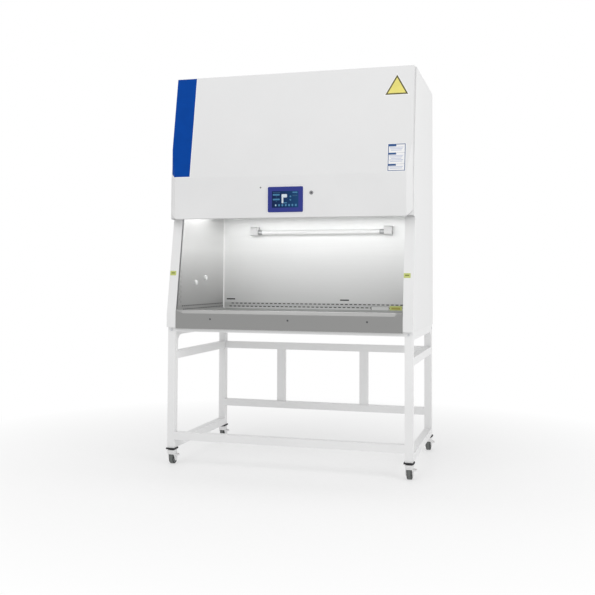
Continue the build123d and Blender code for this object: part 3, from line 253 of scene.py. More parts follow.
WALL_ROUGH = (0.42, 0.56)
wall_steel = stainless("chamber_wall_steel", (0.9, 0.905, 0.9), "X", WALL_ROUGH,
                       painted_low_shade=0.77, dust_and_shade=0.84)
plate_steel = stainless("wall_plate_steel", (0.9, 0.905, 0.9), "X", WALL_ROUGH, painted_low_shade=0.8)
# painted shade: the side walls get a darker tone and a stronger fall towards the worktop than the
# back wall's sheet
shaded_side_steel = stainless("chamber_side_steel_shaded", (0.81, 0.81, 0.805), "Y", WALL_ROUGH,
                       painted_low_shade=0.57, dust_and_shade=0.92)
lip_steel = stainless("front_lip_steel", (0.3, 0.3, 0.296), "X", (0.34, 0.5))
# painted shade: the tray's tone is set well below the wall sheet's to dim its reflection of the
# chamber lamp
shaded_tray_steel = stainless("work_tray_steel_shaded", (0.5, 0.505, 0.5), "X", (0.52, 0.66))
plain_zinc = stainless("zinc_sheet", (0.6, 0.62, 0.63), "Z", (0.38, 0.55), wipe=0.12)
print("stainless finishes made")

# %% [markdown]
# ## Plastics, rubber and glass
#
# Moulded plastic has a fine even texture and a soft sheen. Rubber is rougher, with a dusty
# texture. The sash is laminated safety glass: clear, a little green at depth. The germicidal
# tube is frosted, with a faint painted glow, though it is not switched on. Each gets its own
# small grain, so that no surface is one flat colour.

# %% Plastics, rubber and glass
def moulded(name, light, roughness=0.45, grain=1400.0, shade=0.06, depth=0.02 * MM):
    """Moulded plastic or rubber, darker by shade in patches, with a texture of a depth."""
    material, shader = new_finish(name, roughness=roughness)
    place = object_place(material)
    speck = noise(material, place, grain, detail=2)
    cloud = noise(material, place, 12.0, detail=3)
    dark = tuple(c * (1 - shade) for c in light)
    wire(material, tones(material, cloud, (0.3, dark), (0.7, light)), shader, "Base Color")
    gloss = between(material, speck, roughness - 0.06, roughness + 0.08)
    wire(material, gloss, shader, "Roughness")
    add_bump(material, shader, speck, 0.3, depth)
    return material


white_plastic = moulded("white_plastic", grey(0.78))
holder_white = moulded("lamp_holder_plastic", grey(0.86))
caster_white = moulded("caster_housing_plastic", grey(0.80), roughness=0.38)
black_plastic = moulded("black_plastic", (0.03, 0.03, 0.033), roughness=0.4, shade=0.2)
bezel_blue = moulded("bezel_blue", (0.028, 0.04, 0.235), roughness=0.4, shade=0.05)
bezel_blue.node_tree.nodes["Principled BSDF"].inputs["Specular IOR Level"].default_value = 0.2
pad_rubber = moulded("pad_rubber", (0.022, 0.022, 0.024), roughness=0.7,
                     grain=600, shade=0.3, depth=0.06 * MM)
tyre_rubber = moulded("tyre_rubber", (0.05, 0.055, 0.055), roughness=0.62,
                      grain=800, shade=0.25, depth=0.05 * MM)
lens_grey = moulded("lens_grey", grey(0.2), roughness=0.2, shade=0.15)
wheel_grey = moulded("wheel_core_plastic", (0.3, 0.31, 0.31), roughness=0.42)

sash_clear, clear_shader = new_finish("sash_safety_glass", roughness=0.02, colour=(0.9, 0.97, 0.95))
clear_shader.inputs["Transmission Weight"].default_value = 1.0
clear_shader.inputs["IOR"].default_value = 1.5
smear = noise(sash_clear, object_place(sash_clear), 6.0, detail=4)
wire(sash_clear, between(sash_clear, smear, 0.01, 0.06, 0.4, 0.7), clear_shader, "Roughness")

lamp_quartz, quartz_shader = new_finish("lamp_quartz", roughness=0.2)
frost = noise(lamp_quartz, object_place(lamp_quartz, (1, 60, 60)), 2.0, detail=3)
quartz_tone = tones(lamp_quartz, frost, (0.3, grey(0.9)), (0.7, grey(0.95)))
wire(lamp_quartz, quartz_tone, quartz_shader, "Base Color")
wire(lamp_quartz, between(lamp_quartz, frost, 0.08, 0.2), quartz_shader, "Roughness")
quartz_shader.inputs["Specular IOR Level"].default_value = 0.2
# painted light: the tube is not switched on, and this faint glow only evens out its shading
quartz_shader.inputs["Emission Color"].default_value = (1, 1, 1, 1)
quartz_shader.inputs["Emission Strength"].default_value = 0.1
print("plastics, rubber and glass made")

# %% [markdown]
# ## Machined and plated metal
#
# Fasteners are small, so their finish shows as one bright spark. The lock in the cover is duller
# and darker. Fine turning rings would be too small to see, and a noise on roughness is enough to
# break up the highlight.

# %% Machined and plated metal
def plated(name, light, roughness):
    """A small metal part, from its light tone down to one 15 percent darker."""
    material, shader = new_finish(name, roughness=roughness, metallic=1.0)
    speck = noise(material, object_place(material), 300.0, detail=3)
    dark = tuple(c * 0.85 for c in light)
    wire(material, tones(material, speck, (0.35, dark), (0.65, light)), shader, "Base Color")
    wire(material, between(material, speck, roughness * 0.8, roughness * 1.3), shader, "Roughness")
    return material


lock_collar = plated("lock_collar", (0.3, 0.3, 0.31), 0.35)
lock_core = plated("lock_core", (0.13, 0.13, 0.135), 0.38)
zinc_plate = plated("zinc_plate", (0.62, 0.63, 0.65), 0.3)
turned_brass = plated("turned_brass", (0.62, 0.47, 0.22), 0.25)
motor_alloy = plated("motor_alloy", (0.5, 0.51, 0.52), 0.45)
frame_alloy = plated("filter_frame_alloy", (0.66, 0.67, 0.68), 0.35)
print("metals made")

# %% [markdown]
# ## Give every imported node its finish
#
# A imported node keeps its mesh, and only its material slots change. One table says which finish
# goes on which node, so nothing is forgotten: the cell stops if a node isn't named.

# %% Assign the finishes
finish_of = {
    case_white: ["side_panels", "back_panel", "top_panel", "front_pillars"],
    cover_white: ["front_cover"],
    stand_white: ["stand_legs", "stand_rails", "stand_rear_frame", "stand_top_frame"],
    inner_white: ["drip_pan", "exhaust_guard", "work_light", "control_box"],
    wall_steel: ["chamber_wall_back", "diffuser"],
    shaded_side_steel: ["chamber_side_walls"],
    lip_steel: ["front_lip"],
    shaded_tray_steel: ["work_tray", "intake_grille"],
    plain_zinc: ["plenum", "filter_shelf", "blower_housing", "blower_impeller"],
    frame_alloy: ["supply_filter", "exhaust_filter", "sash_guides", "sash_handle"],
    motor_alloy: ["blower_motor"],
    white_plastic: ["service_plugs"],
    holder_white: ["lamp_holders"],
    lamp_quartz: ["uv_lamp"],
    sash_clear: ["sash_glass"],
    bezel_blue: ["screen_bezel"],
    black_plastic: ["touch_screen", "power_inlet", "drain_lever"],
    lock_collar: ["lock_barrel"],
    lock_core: ["lock_plug"],
    lens_grey: ["status_lamp"],
    turned_brass: ["drain_valve"],
    zinc_plate: ["hinge_brackets", "hinge_leaves", "stand_bolts"],
    pad_rubber: ["caster_pads"],
}
corners = ("fl", "fr", "rl", "rr")
finish_of[caster_white] = [f"caster_{part}_{c}" for part in ("fork", "brake") for c in corners]
finish_of[wheel_grey] = [f"caster_wheel_{c}" for c in corners]
finish_of[tyre_rubber] = [f"caster_tyre_{c}" for c in corners]

dressed = set()
for finish, names in finish_of.items():
    for name in names:
        mesh = nodes[name].data
        mesh.materials.clear()
        mesh.materials.append(finish)
        dressed.add(name)
bare = sorted(set(nodes) - dressed)
if bare:
    raise ValueError(f"no finish for {bare}")
print(f"{len(dressed)} nodes dressed")

# %% [markdown]
# ## Fitted pieces
#
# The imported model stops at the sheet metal. What is stuck, screwed or sealed onto it is small and
# comes now: cards and tags, the marks on the display, screws, seals, pleats and lamp fittings.
# Most of them are thin plates on a flat surface, so one helper puts a local frame on a surface,
# and another makes plates from outlines drawn in that frame, in millimetres.

# %% Frames on the surfaces
def surface(origin, up, right=(1, 0, 0)):
    """A local frame on a surface: first axis along it, second up it, third out of it."""
    right, up = Vector(right).normalized(), Vector(up).normalized()
    place = Matrix((right, up, right.cross(up))).transposed().to_4x4()
    place.translation = Vector(origin)
    return place


leaning = (0, math.sin(LEAN), math.cos(LEAN))
rear_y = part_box("back_panel")[1].y
fascia = surface((0, face_y, 0), (0, 0, 1))
upper_cover = surface((0, face_y, fold_z), leaning)
pillar_front = surface((0, front_y, foot_z), leaning)
back_wall = surface((0, wall_y, 0), (0, 0, 1))
rear_face = surface((0, rear_y, 0), (0, 0, 1), (-1, 0, 0))


def up_lean(z, origin_z):
    """Millimetres up a leaning surface at which it reaches a height, given in millimetres too."""
    return (z - origin_z / MM) / math.cos(LEAN)


print(f"the back panel's face is at y {rear_y:.3f} m")

# %% A piece that rides on a body
SIDES = ((-1, "left"), (1, "right"))
CLEAR = 0.1  # how far over its surface a plate starts, so that the two faces stay apart


def new_piece(name, shape, finishes, body):
    """A piece from a bmesh, in place, that rides on a body."""
    mesh = bpy.data.meshes.new(name)
    bmesh.ops.recalc_face_normals(shape, faces=shape.faces)
    shape.to_mesh(mesh)
    shape.free()
    for finish in finishes:
        mesh.materials.append(finish)
    piece = bpy.data.objects.new(name, mesh)
    bpy.context.scene.collection.objects.link(piece)
    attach(piece, body)
    return piece


print("pieces can be placed")


# %% Outlines drawn on a surface
CORNER_STEPS = 4


def oblong(middle, size):
    """The corners of a rectangle, round the middle."""
    (u, v), (w, h) = middle, (size[0] / 2, size[1] / 2)
    return [(u - w, v - h), (u + w, v - h), (u + w, v + h), (u - w, v + h)]


def rounded(middle, size, radius):
    """A rectangle with round corners, as an outline."""
    outline = []
    turns = ((1, -1, -90), (1, 1, 0), (-1, 1, 90), (-1, -1, 180))
    for across, up, start in turns:
        u = middle[0] + across * (size[0] / 2 - radius)
        v = middle[1] + up * (size[1] / 2 - radius)
        for k in range(CORNER_STEPS + 1):
            angle = math.radians(start + 90 * k / CORNER_STEPS)
            outline.append((u + radius * math.cos(angle), v + radius * math.sin(angle)))
    return outline


print(f"{len(rounded((0, 0), (2, 2), 1))} points in a rounded outline")


# %% Plates and turned forms
def add_plate(shape, place, outline, low, high, finish=0):
    """A plate between two heights over a surface, in millimetres."""
    under, over = ([shape.verts.new(place @ (Vector((u, v, w)) * MM)) for u, v in outline]
                   for w in (low, high))
    faces = [under[::-1], over]
    for k in range(len(outline)):
        faces.append([under[k - 1], under[k], over[k], over[k - 1]])
    for ring in faces:
        shape.faces.new(ring).material_index = finish


def plates(name, place, outlines, finishes, body):
    """One piece from several plates: (outline, low, high, finish number) each."""
    shape = bmesh.new()
    for outline, low, high, finish in outlines:
        add_plate(shape, place, outline, low, high, finish)
    new_piece(name, shape, finishes, body)


def bridge(shape, rings, smooth=False):
    """Side faces between one ring of corners and the next, and a face on each end."""
    for low, high in zip(rings, rings[1:]):
        count = len(low)
        for k in range(count):
            side = (low[k], low[(k + 1) % count], high[(k + 1) % count], high[k])
            shape.faces.new(side).smooth = smooth
    shape.faces.new(rings[0])
    shape.faces.new(rings[-1])


def add_turned(shape, place, profile, sides):
    """A turned form round the frame's third axis, from (radius, height) points in millimetres."""
    angles = [2 * math.pi * k / sides for k in range(sides)]
    rings = []
    for radius, height in profile:
        circle = [Vector((radius * math.cos(a), radius * math.sin(a), height)) for a in angles]
        rings.append([shape.verts.new(place @ (point * MM)) for point in circle])
    bridge(shape, rings, smooth=True)


def shifted(place, u, v):
    """The same frame, moved along its surface by millimetres."""
    return place @ Matrix.Translation(Vector((u, v, 0)) * MM)


print("plates and turned forms can be made")

# %% [markdown]
# ## Printed vinyl
#
# Cards and tags are printed vinyl: even colour with a soft gloss, a trace of mottling in the ink
# and a hint of orange peel from the powder coat below. Each ink is one finish, so a card is one
# piece with several finishes and no picture. The wide coloured band down the cover's left edge is
# left bare, and the cards carry bars and rules in place of words.

# %% Inks
def printed(name, colour, roughness=0.36, mottle=0.07, gloss=0.2):
    """Ink on vinyl, darker by mottle in patches."""
    material, shader = new_finish(name, roughness=roughness)
    place = object_place(material)
    cloud = noise(material, place, 18.0, detail=4)
    grain = noise(material, place, 700.0, detail=2)
    dark = tuple(c * (1 - mottle) for c in colour)
    wire(material, tones(material, cloud, (0.35, dark), (0.65, colour)), shader, "Base Color")
    soft = between(material, grain, roughness - 0.05, roughness + 0.08)
    wire(material, soft, shader, "Roughness")
    add_bump(material, shader, grain, 0.2, 0.02 * MM)
    shader.inputs["Specular IOR Level"].default_value = gloss
    return material


ink_white = printed("ink_white", grey(0.86), mottle=0.03)
ink_blue = printed("ink_blue", (0.002, 0.059, 0.335), roughness=0.5, gloss=0.04)
ink_navy = printed("ink_navy", (0.03, 0.09, 0.25))
ink_grey = printed("ink_grey", (0.46, 0.46, 0.52))
ink_pale = printed("ink_pale", (0.5, 0.54, 0.68))
ink_yellow = printed("ink_yellow", (0.80, 0.72, 0.20))
ink_olive = printed("ink_olive", (0.11, 0.10, 0.035))
ink_lime = printed("ink_lime", (0.55, 0.6, 0.2))
ink_moss = printed("ink_moss", (0.2, 0.22, 0.06))
ink_gold = printed("ink_gold", (0.4, 0.36, 0.09))
print("inks mixed")

# %% [markdown]
# ## Coloured band down the cover
#
# The band wraps from the leaning face onto the tapering bevel at the cover's left edge, so it is
# two flat facets that meet along the bevel's edge. They are drawn as corner points worked out
# from the cover's slope, then a Solidify modifier gives the vinyl its thickness. A white margin
# of the same make shows below the band and along its right edge.

# %% Bare blue band
COVER_HALF = cover_high.x / MM
BEVEL = 28.0
BAND_RIGHT = -534.0
BAND_FOOT = 1519.0
BAND_TOP = cover_high.z / MM - 2
CUT = 20.0
VINYL = 0.2


def on_cover(x, z, lift):
    """A point over the cover's left face or bevel, given in millimetres."""
    face = face_y / MM + (z - fold_z / MM) * math.tan(LEAN)
    bevel = face_y / MM + (abs(x) - (COVER_HALF - BEVEL))
    return Vector((x, max(face, bevel) - lift, z)) * MM


def bevel_start(z):
    """Where the left bevel begins at a height, in millimetres."""
    return -(COVER_HALF - BEVEL) - (z - fold_z / MM) * math.tan(LEAN)


def band_piece(name, margin, lift, finish):
    """Both facets as one sheet, wider and longer by the margin."""
    left, foot, right = -COVER_HALF + 0.5, BAND_FOOT - margin, BAND_RIGHT + margin
    bevel_top = fold_z / MM + BEVEL / math.tan(LEAN)
    facets = (
        [(right, foot), (right, BAND_TOP), (left, BAND_TOP), (left, bevel_top),
         (bevel_start(foot), foot)],
        [(left, bevel_top), (left, foot + CUT), (left + CUT, foot), (bevel_start(foot), foot)],
    )
    shape = bmesh.new()
    for facet in facets:
        shape.faces.new([shape.verts.new(on_cover(x, z, lift)) for x, z in facet])
    bmesh.ops.remove_doubles(shape, verts=shape.verts, dist=0.3 * MM)
    piece = new_piece(name, shape, [finish], "cover")
    solid = piece.modifiers.new("thickness", "SOLIDIFY")
    solid.thickness = VINYL * MM


band_piece("band_margin", 5, 0.3, ink_white)
band_piece("colour_band", 0, 0.6, ink_blue)
print(f"band from z {BAND_FOOT} to {BAND_TOP:.0f} mm")

# %% [markdown]
# ## Cards on the cover
#
# Near the right edge sit a yellow triangle and, lower down, a service card with three headings.
# Both are stacks of plates, each a tenth of a millimetre or so over the last: a white margin, a
# dark edge, then the field. Grey rules fill the card where a maker would print words.

# %% Triangle and service card
def triangle(middle, width, height):
    """The corners of a triangle on its base, round its centre of area."""
    (u, v), half, third = middle, width / 2, height / 3
    return [(u - half, v - third), (u + half, v - third), (u, v + 2 * third)]


TRIANGLE_X, TRIANGLE_Z = 558, 1950
CARD_X, CARD_WIDE, CARD_FOOT, CARD_TOP = 566, 87, 1519, 1657

tri_middle = (TRIANGLE_X, up_lean(TRIANGLE_Z, fold_z))
plates("triangle_card", upper_cover, [
    (triangle(tri_middle, 132, 122), CLEAR, 0.3, 0),
    (triangle(tri_middle, 116, 106), CLEAR, 0.45, 1),
    (triangle(tri_middle, 92, 84), CLEAR, 0.6, 2),
], [ink_white, ink_olive, ink_yellow], "cover")

card_low, card_high = up_lean(CARD_FOOT, fold_z), up_lean(CARD_TOP, fold_z)
card_middle = (CARD_X, (card_low + card_high) / 2)
card_size = (CARD_WIDE, card_high - card_low)
card = [
    (oblong(card_middle, (card_size[0] + 8, card_size[1] + 8)), CLEAR, 0.3, 0),
    (oblong(card_middle, card_size), CLEAR, 0.4, 1),
    (oblong(card_middle, (card_size[0] - 7, card_size[1] - 6)), CLEAR, 0.5, 0),
]
card_left = card_middle[0] - card_size[0] / 2 + 3
for drop, rules in ((0, 3), (43, 5), (101, 2)):
    head = card_high - 3 - drop
    card.append((oblong((card_left + 19, head - 5), (38, 10)), CLEAR, 0.7, 1))
    card.append((oblong((card_middle[0] + 20, head - 0.8), (40, 1.6)), CLEAR, 0.6, 2))
    for k in range(rules):
        line = head - 15 - 7.5 * k
        card.append((oblong((card_middle[0] - 2, line), (70 - 9 * (k % 3), 3.4)), CLEAR, 0.6, 3))
plates("service_card", upper_cover, card, [ink_white, ink_navy, ink_grey, ink_pale],
       "cover")
print(f"{len(card)} plates on the service card")

# %% [markdown]
# ## Tags on the pillars
#
# Each front pillar carries a small lime tag about half way up the opening, with one darker bar
# in place of words. The tag lies on the leaning face of the pillar.

# %% Tags on the pillars
for side, x, z in (("left", -631, 1008), ("right", 617, 1000)):
    middle = (x, up_lean(z, foot_z))
    plates(f"pillar_tag_{side}", pillar_front, [
        (oblong(middle, (34, 24)), CLEAR, 0.3, 0),
        (oblong((x, middle[1] + 1), (20, 6)), CLEAR, 0.45, 1),
    ], [ink_lime, ink_moss], "cabinet")
print("pillars tagged")

# %% [markdown]
# ## Marks on the display
#
# The touch screen is a dark glass whose picture glows a little. Its picture is made the way the
# cards are: small plates, here with a finish that emits a modest light. There are two value bars,
# a white status figure, two round marks and a row of seven keys, and no words.

# %% Display glass
def lit(name, colour, strength):
    """A finish that gives off its own colour."""
    material, shader = new_finish(name, roughness=0.3)
    shader.inputs["Specular IOR Level"].default_value = 0.2
    place = object_place(material)
    cloud = noise(material, place, 120.0, detail=2)
    dark = tuple(c * 0.8 for c in colour)
    shade = tones(material, cloud, (0.3, dark), (0.7, colour))
    wire(material, shade, shader, "Base Color")
    wire(material, shade, shader, "Emission Color")
    shader.inputs["Emission Strength"].default_value = strength
    return material


display_low, display_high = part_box("touch_screen")
display_glass, glass_shader = new_finish("display_glass", roughness=0.22)
glass_shader.inputs["Specular IOR Level"].default_value = 0.12
glass_place = object_place(display_glass)
across = add_node(display_glass, "ShaderNodeSeparateXYZ", Vector=glass_place).outputs["X"]
field = tones(
    display_glass, between(display_glass, across, 0, 1, display_low.x, display_high.x),
    (0.0, (0.003, 0.014, 0.06)), (0.45, (0.004, 0.026, 0.09)), (1.0, (0.008, 0.05, 0.14)),
)
wire(display_glass, field, glass_shader, "Base Color")
wire(display_glass, field, glass_shader, "Emission Color")
glass_shader.inputs["Emission Strength"].default_value = 0.12
# the lit glass takes the place of the plain finish that the table gave the screen
nodes["touch_screen"].data.materials.clear()
nodes["touch_screen"].data.materials.append(display_glass)

MARK_GLOW = 0.15
lit_white = lit("lit_white", (0.6, 0.68, 0.74), MARK_GLOW)
lit_blue = lit("lit_blue", (0.06, 0.2, 0.36), MARK_GLOW)
lit_dim = lit("lit_dim", (0.02, 0.075, 0.17), MARK_GLOW)

# %% Marks on the display
MARK_CLEAR = 0.02
display_middle = (display_low + display_high) / 2
screen = surface((display_middle.x, display_low.y, display_middle.z), (0, 0, 1))
marks = []
for row in (24, 0):
    marks.append((rounded((-47.5, row), (36, 8), 2), MARK_CLEAR, 0.2, 1))
    marks.append((triangle((-47, row - 10.5), 8, 6), MARK_CLEAR, 0.2, 2))
fields = [  # middle, size, corner radius, height, and which of the three lit finishes
    ((-46, 35), (38, 4), 1, 0.2, 2),
    ((-4.5, 18), (29, 17), 4, 0.25, 0),
    ((-14, -4), (9, 32), 3, 0.24, 0),
    ((0, -18), (20, 5), 2, 0.22, 1),
    ((28, 14.5), (9, 9), 4.4, 0.2, 1),
    ((28, -3), (9, 9), 4.4, 0.2, 1),
    ((52, 35), (26, 6), 1.5, 0.2, 1),
    ((52, 19), (26, 7), 1.5, 0.2, 2),
]
fields += [((-50 + 17.8 * k, -30), (9, 11), 3, 0.2, 1) for k in range(7)]
for middle, size, radius, height, finish in fields:
    marks.append((rounded(middle, size, radius), MARK_CLEAR, height, finish))
marks.append((rounded((-50, -30), (5, 7), 2), 0.2, 0.3, 0))
plates("display_marks", screen, marks, [lit_white, lit_blue, lit_dim], "cover")

bezel_low, bezel_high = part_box("screen_bezel")
GASKET_RIM = 5
bezel_middle = ((bezel_low.x + bezel_high.x) / 2 / MM, (bezel_low.z + bezel_high.z) / 2 / MM)
gasket_size = tuple(reach / MM + 2 * GASKET_RIM for reach in (bezel_high - bezel_low).xz)
plates("bezel_gasket", fascia, [
    (rounded(bezel_middle, gasket_size, 8), CLEAR, 0.8, 0),
], [ink_white], "cover")
print(f"{len(marks)} marks on the display")

# %% [markdown]
# ## Painted shade behind the return slots
#
# Air leaves the chamber through rows of slots low in its walls and up the side walls' front
# edges. Behind the slots lies a near-black sheet, painted shade for the dark duct behind them,
# so that they read as black dashes from the front. The side sheet follows the leaning front
# edge, just behind the sash guides.

# %% Painted shade behind the return slots
SLOT_SHADE_FOOT, SLOT_SHADE_TOP, SLOT_SHADE_EDGE_TOP = 804, 868, 1200
SLOT_SHADE_NEAR, SLOT_SHADE_FAR = CLEAR, 1.6  # from the wall's outside, in millimetres
WALL_THICK = 1.5
# painted shade: a near-black sheet in the duct behind the slots, where there is only shade
slot_shade = moulded("return_slot_shade", (0.012, 0.012, 0.013), roughness=0.95,
               grain=500, shade=0.4, depth=0.2 * MM)
half_wall = back_high.x / MM
behind = oblong((0, (SLOT_SHADE_FOOT + SLOT_SHADE_TOP) / 2), (2 * half_wall - 8, SLOT_SHADE_TOP - SLOT_SHADE_FOOT))
plates("return_slot_shade_back", back_wall,
       [(behind, -WALL_THICK - SLOT_SHADE_FAR, -WALL_THICK - SLOT_SHADE_NEAR, 0)],
       [slot_shade], "cabinet")

edge = front_y / MM + 26
edge_lean = edge + (SLOT_SHADE_EDGE_TOP - foot_z / MM) * math.tan(LEAN)
rear_edge = wall_y / MM - 3
beside = [(edge, SLOT_SHADE_FOOT), (edge_lean, SLOT_SHADE_EDGE_TOP), (edge_lean + 52, SLOT_SHADE_EDGE_TOP),
          (edge + 66, SLOT_SHADE_TOP), (rear_edge, SLOT_SHADE_TOP), (rear_edge, SLOT_SHADE_FOOT)]
for side, name in SIDES:
    wall_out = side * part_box("chamber_side_walls")[1].x
    upright = surface((wall_out, 0, 0), (0, 0, 1), (0, 1, 0))
    low, high = sorted((side * SLOT_SHADE_NEAR, side * SLOT_SHADE_FAR))
    plates(f"return_slot_shade_{name}", upright, [(beside, low, high, 0)],
           [slot_shade], "cabinet")
print("return felts fitted")

# %% [markdown]
# ## Tag and cover plate on the back wall
#
# Low on the chamber's back wall, at the right, sit a yellow-green tag without words and beside
# it a thin steel plate over a service opening. A plate a millimetre thick, with a dark joint
# under it, reads as a separate sheet from any side. Two narrow steel brows sit over the wall's
# vents, above the rows of slots.

# %% Back wall tag, plate and brows
plates("wall_tag", back_wall, [
    (oblong((452, 806), (72, 41)), CLEAR, 0.4, 0),
    (oblong((452, 812), (50, 11)), CLEAR, 0.5, 1),
], [ink_lime, ink_gold], "cabinet")
plates("wall_plate", back_wall, [
    (rounded((360, 803), (106, 37), 3), CLEAR, 0.3, 1),
    (rounded((361, 804), (101, 33), 3), 0.3, 1.2, 0),
], [plate_steel, black_plastic], "cabinet")
for name, x in (("left", -552), ("middle", 151)):
    plates(f"vent_brow_{name}", back_wall, [
        (oblong((x, 864.5), (62, 3)), CLEAR, 2.0, 0),
        (oblong((x, 849), (58, 2)), CLEAR, 1.2, 0),
    ], [plate_steel], "cabinet")
print("back wall fitted")

# %% [markdown]
# ## Screws
#
# Three countersunk screws hold the front lip, flush in its countersinks, and a row of low domed
# screws runs round the back panel. A screw is a turned profile: it starts under the head, runs
# out and over the rim, and drops into a round socket in the middle.

# %% Lip screws and back panel screws
def screws(name, place, spots, profile, finish):
    """One piece with the same screw at each spot of a surface."""
    shape = bmesh.new()
    for u, v in spots:
        add_turned(shape, shifted(place, u, v), profile, sides=18)
    new_piece(name, shape, [finish], "cabinet")


screw_dark = plated("screw_dark", (0.09, 0.09, 0.1), 0.4)
lip_face = surface((0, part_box("front_lip")[0].y, 0), (0, 0, 1))
countersunk = [(1.0, -2.0), (2.5, -2.0), (4.8, -0.15), (4.4, -0.05),
               (2.3, -0.05), (2.0, -1.4), (0.6, -1.4)]
screws("lip_screws", lip_face, [(x, 768) for x in (-406, 14, 423)], countersunk, screw_dark)

domed = [(1.0, 0.02), (5.0, 0.02), (5.0, 0.7), (3.9, 1.6),
         (2.4, 2.0), (2.0, 1.9), (1.8, 0.8), (0.5, 0.8)]
case_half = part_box("side_panels")[1].x / MM
spots = [(side * (case_half - 14), z) for side in (-1, 1) for z in range(760, 2061, 216)]
spots += [(x, z) for x in (-424, -212, 0, 212, 424) for z in (738, 2050)]
screws("rear_screws", rear_face, spots, domed, zinc_plate)
print(f"{len(spots)} screws on the back panel")

# %% [markdown]
# ## Seals in the shut lines
#
# The opening cover closes against foam seals. From outside each shows only as a soft pale line
# in the joint between cover and side panel. A side seal follows the joint's two straight runs, so
# it is a swept rectangle: a cross-section at each bend, bridged by faces. A flap of the same foam
# fills the gap behind the cover's cut lower corner, and a third seal runs along the top.

# %% Seals down the sides
seal_foam = moulded("seal_foam", grey(0.78), roughness=0.85,
                    grain=900, shade=0.12, depth=0.1 * MM)
JOINT, SEAL_FRONT, SEAL_WIDE, SEAL_TOP = 3.7, 0.2, 9.0, 2061
FLAP, FLAP_FRONT = (49, 46), 0.4

seat = face_y / MM + COVER_DEEP
seal_line = [
    (seat, cover_low.z / MM + 4),
    (seat, fold_z / MM),
    (seat + (SEAL_TOP - fold_z / MM) * math.tan(LEAN), SEAL_TOP),
]
for side, name in SIDES:
    shape = bmesh.new()
    outer = side * (case_half - 0.6)
    inner = outer - side * SEAL_WIDE
    rings = []
    for y, z in seal_line:
        front, back = y + SEAL_FRONT, y + JOINT
        section = ((outer, front), (outer, back), (inner, back), (inner, front))
        rings.append([shape.verts.new(Vector((x, depth, z)) * MM) for x, depth in section])
    bridge(shape, rings)
    behind_cover = surface((0, seat * MM, 0), (0, 0, 1))
    flap_middle = (inner - side * FLAP[0] / 2, seal_line[0][1] + FLAP[1] / 2)
    add_plate(shape, behind_cover, oblong(flap_middle, FLAP), -JOINT, -FLAP_FRONT)
    new_piece(f"cover_seal_{name}", shape, [seal_foam], "cabinet")
print("side seals fitted")

# %% Seal along the top
top_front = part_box("top_panel")[0].y / MM
top_line = [(top_front - 9, 2046), (top_front + 8, 2046), (top_front + 8, 2061.8)]
top_line += [(top_front + 1.5, 2061.8), (top_front + 1.5, 2056), (top_front - 9, 2056)]
from_side = surface((0, 0, 0), (0, 0, 1), (0, 1, 0))
seal_half = case_half - 10
plates("cover_seal_top", from_side, [(top_line, -seal_half, seal_half, 0)],
       [seal_foam], "cabinet")
print("top seal fitted")

# %% [markdown]
# ## Filter pleats
#
# A filter pack is a sheet of white glass paper folded to and fro. Inside each frame's recess a
# zigzag ribbon stands for it: one vertex pair per fold, so the pleats are real geometry and take
# real shadow under the exhaust guard.

# %% Pleats in the exhaust and supply filters
pleat_paper = printed("pleat_paper", grey(0.8), roughness=0.8, mottle=0.08)


def pleats(name, x_range, y_range, z_range, pitch):
    """A zigzag ribbon that fills the ranges, with a fold at each pitch along X, in metres."""
    shape = bmesh.new()
    folds = int((x_range[1] - x_range[0]) / pitch)
    rows = []
    for k in range(folds + 1):
        x, z = x_range[0] + k * pitch, z_range[k % 2]
        rows.append([shape.verts.new(Vector((x, y, z))) for y in y_range])
    for a, b in zip(rows, rows[1:]):
        shape.faces.new((a[0], b[0], b[1], a[1]))
    new_piece(name, shape, [pleat_paper], "cabinet")


FILTER_RIM = 0.021
exhaust_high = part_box("exhaust_filter")[1].z
pleats("exhaust_pleats", (-0.219, 0.219), (0.041, 0.289),
       (exhaust_high - 0.0195, exhaust_high - 0.004), pitch=0.005)
supply_low, supply_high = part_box("supply_filter")
pleats("supply_pleats", (supply_low.x + FILTER_RIM, supply_high.x - FILTER_RIM),
       (supply_low.y + FILTER_RIM, supply_high.y - FILTER_RIM),
       (supply_low.z + 0.0002, supply_low.z + 0.0057), pitch=0.008)
print("filters pleated")

# %% [markdown]
# ## Lamps
#
# The germicidal lamp is a quartz tube between two white holders, with a metal cap at each end.
# The work light is a long tube behind the cover, above the opening. It glows a little, and a
# real lamp in the chamber's ceiling does the lighting, because a tube that small would be noisy.

# %% Lamp caps
CAP_LONG, CAP_R, CAP_CHAMFER = 26, 13.6, 0.5

lamp_low, lamp_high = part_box("uv_lamp")
lamp_half = (lamp_high.x - lamp_low.x) / 2 / MM
lamp_axis = surface((lamp_low + lamp_high) / 2, (0, 0, 1), (0, 1, 0))
shape = bmesh.new()
for side in (-1, 1):
    near, far = sorted((side * lamp_half, side * (lamp_half - CAP_LONG)))
    near, far = near + CLEAR, far - CLEAR
    cap = [(CAP_R - CAP_CHAMFER, near), (CAP_R, near + CAP_CHAMFER),
           (CAP_R, far - CAP_CHAMFER), (CAP_R - CAP_CHAMFER, far)]
    add_turned(shape, lamp_axis, cap, sides=32)
new_piece("lamp_caps", shape, [frame_alloy], "cabinet")
print(f"caps at {lamp_half:.0f} mm either side of the lamp's middle")

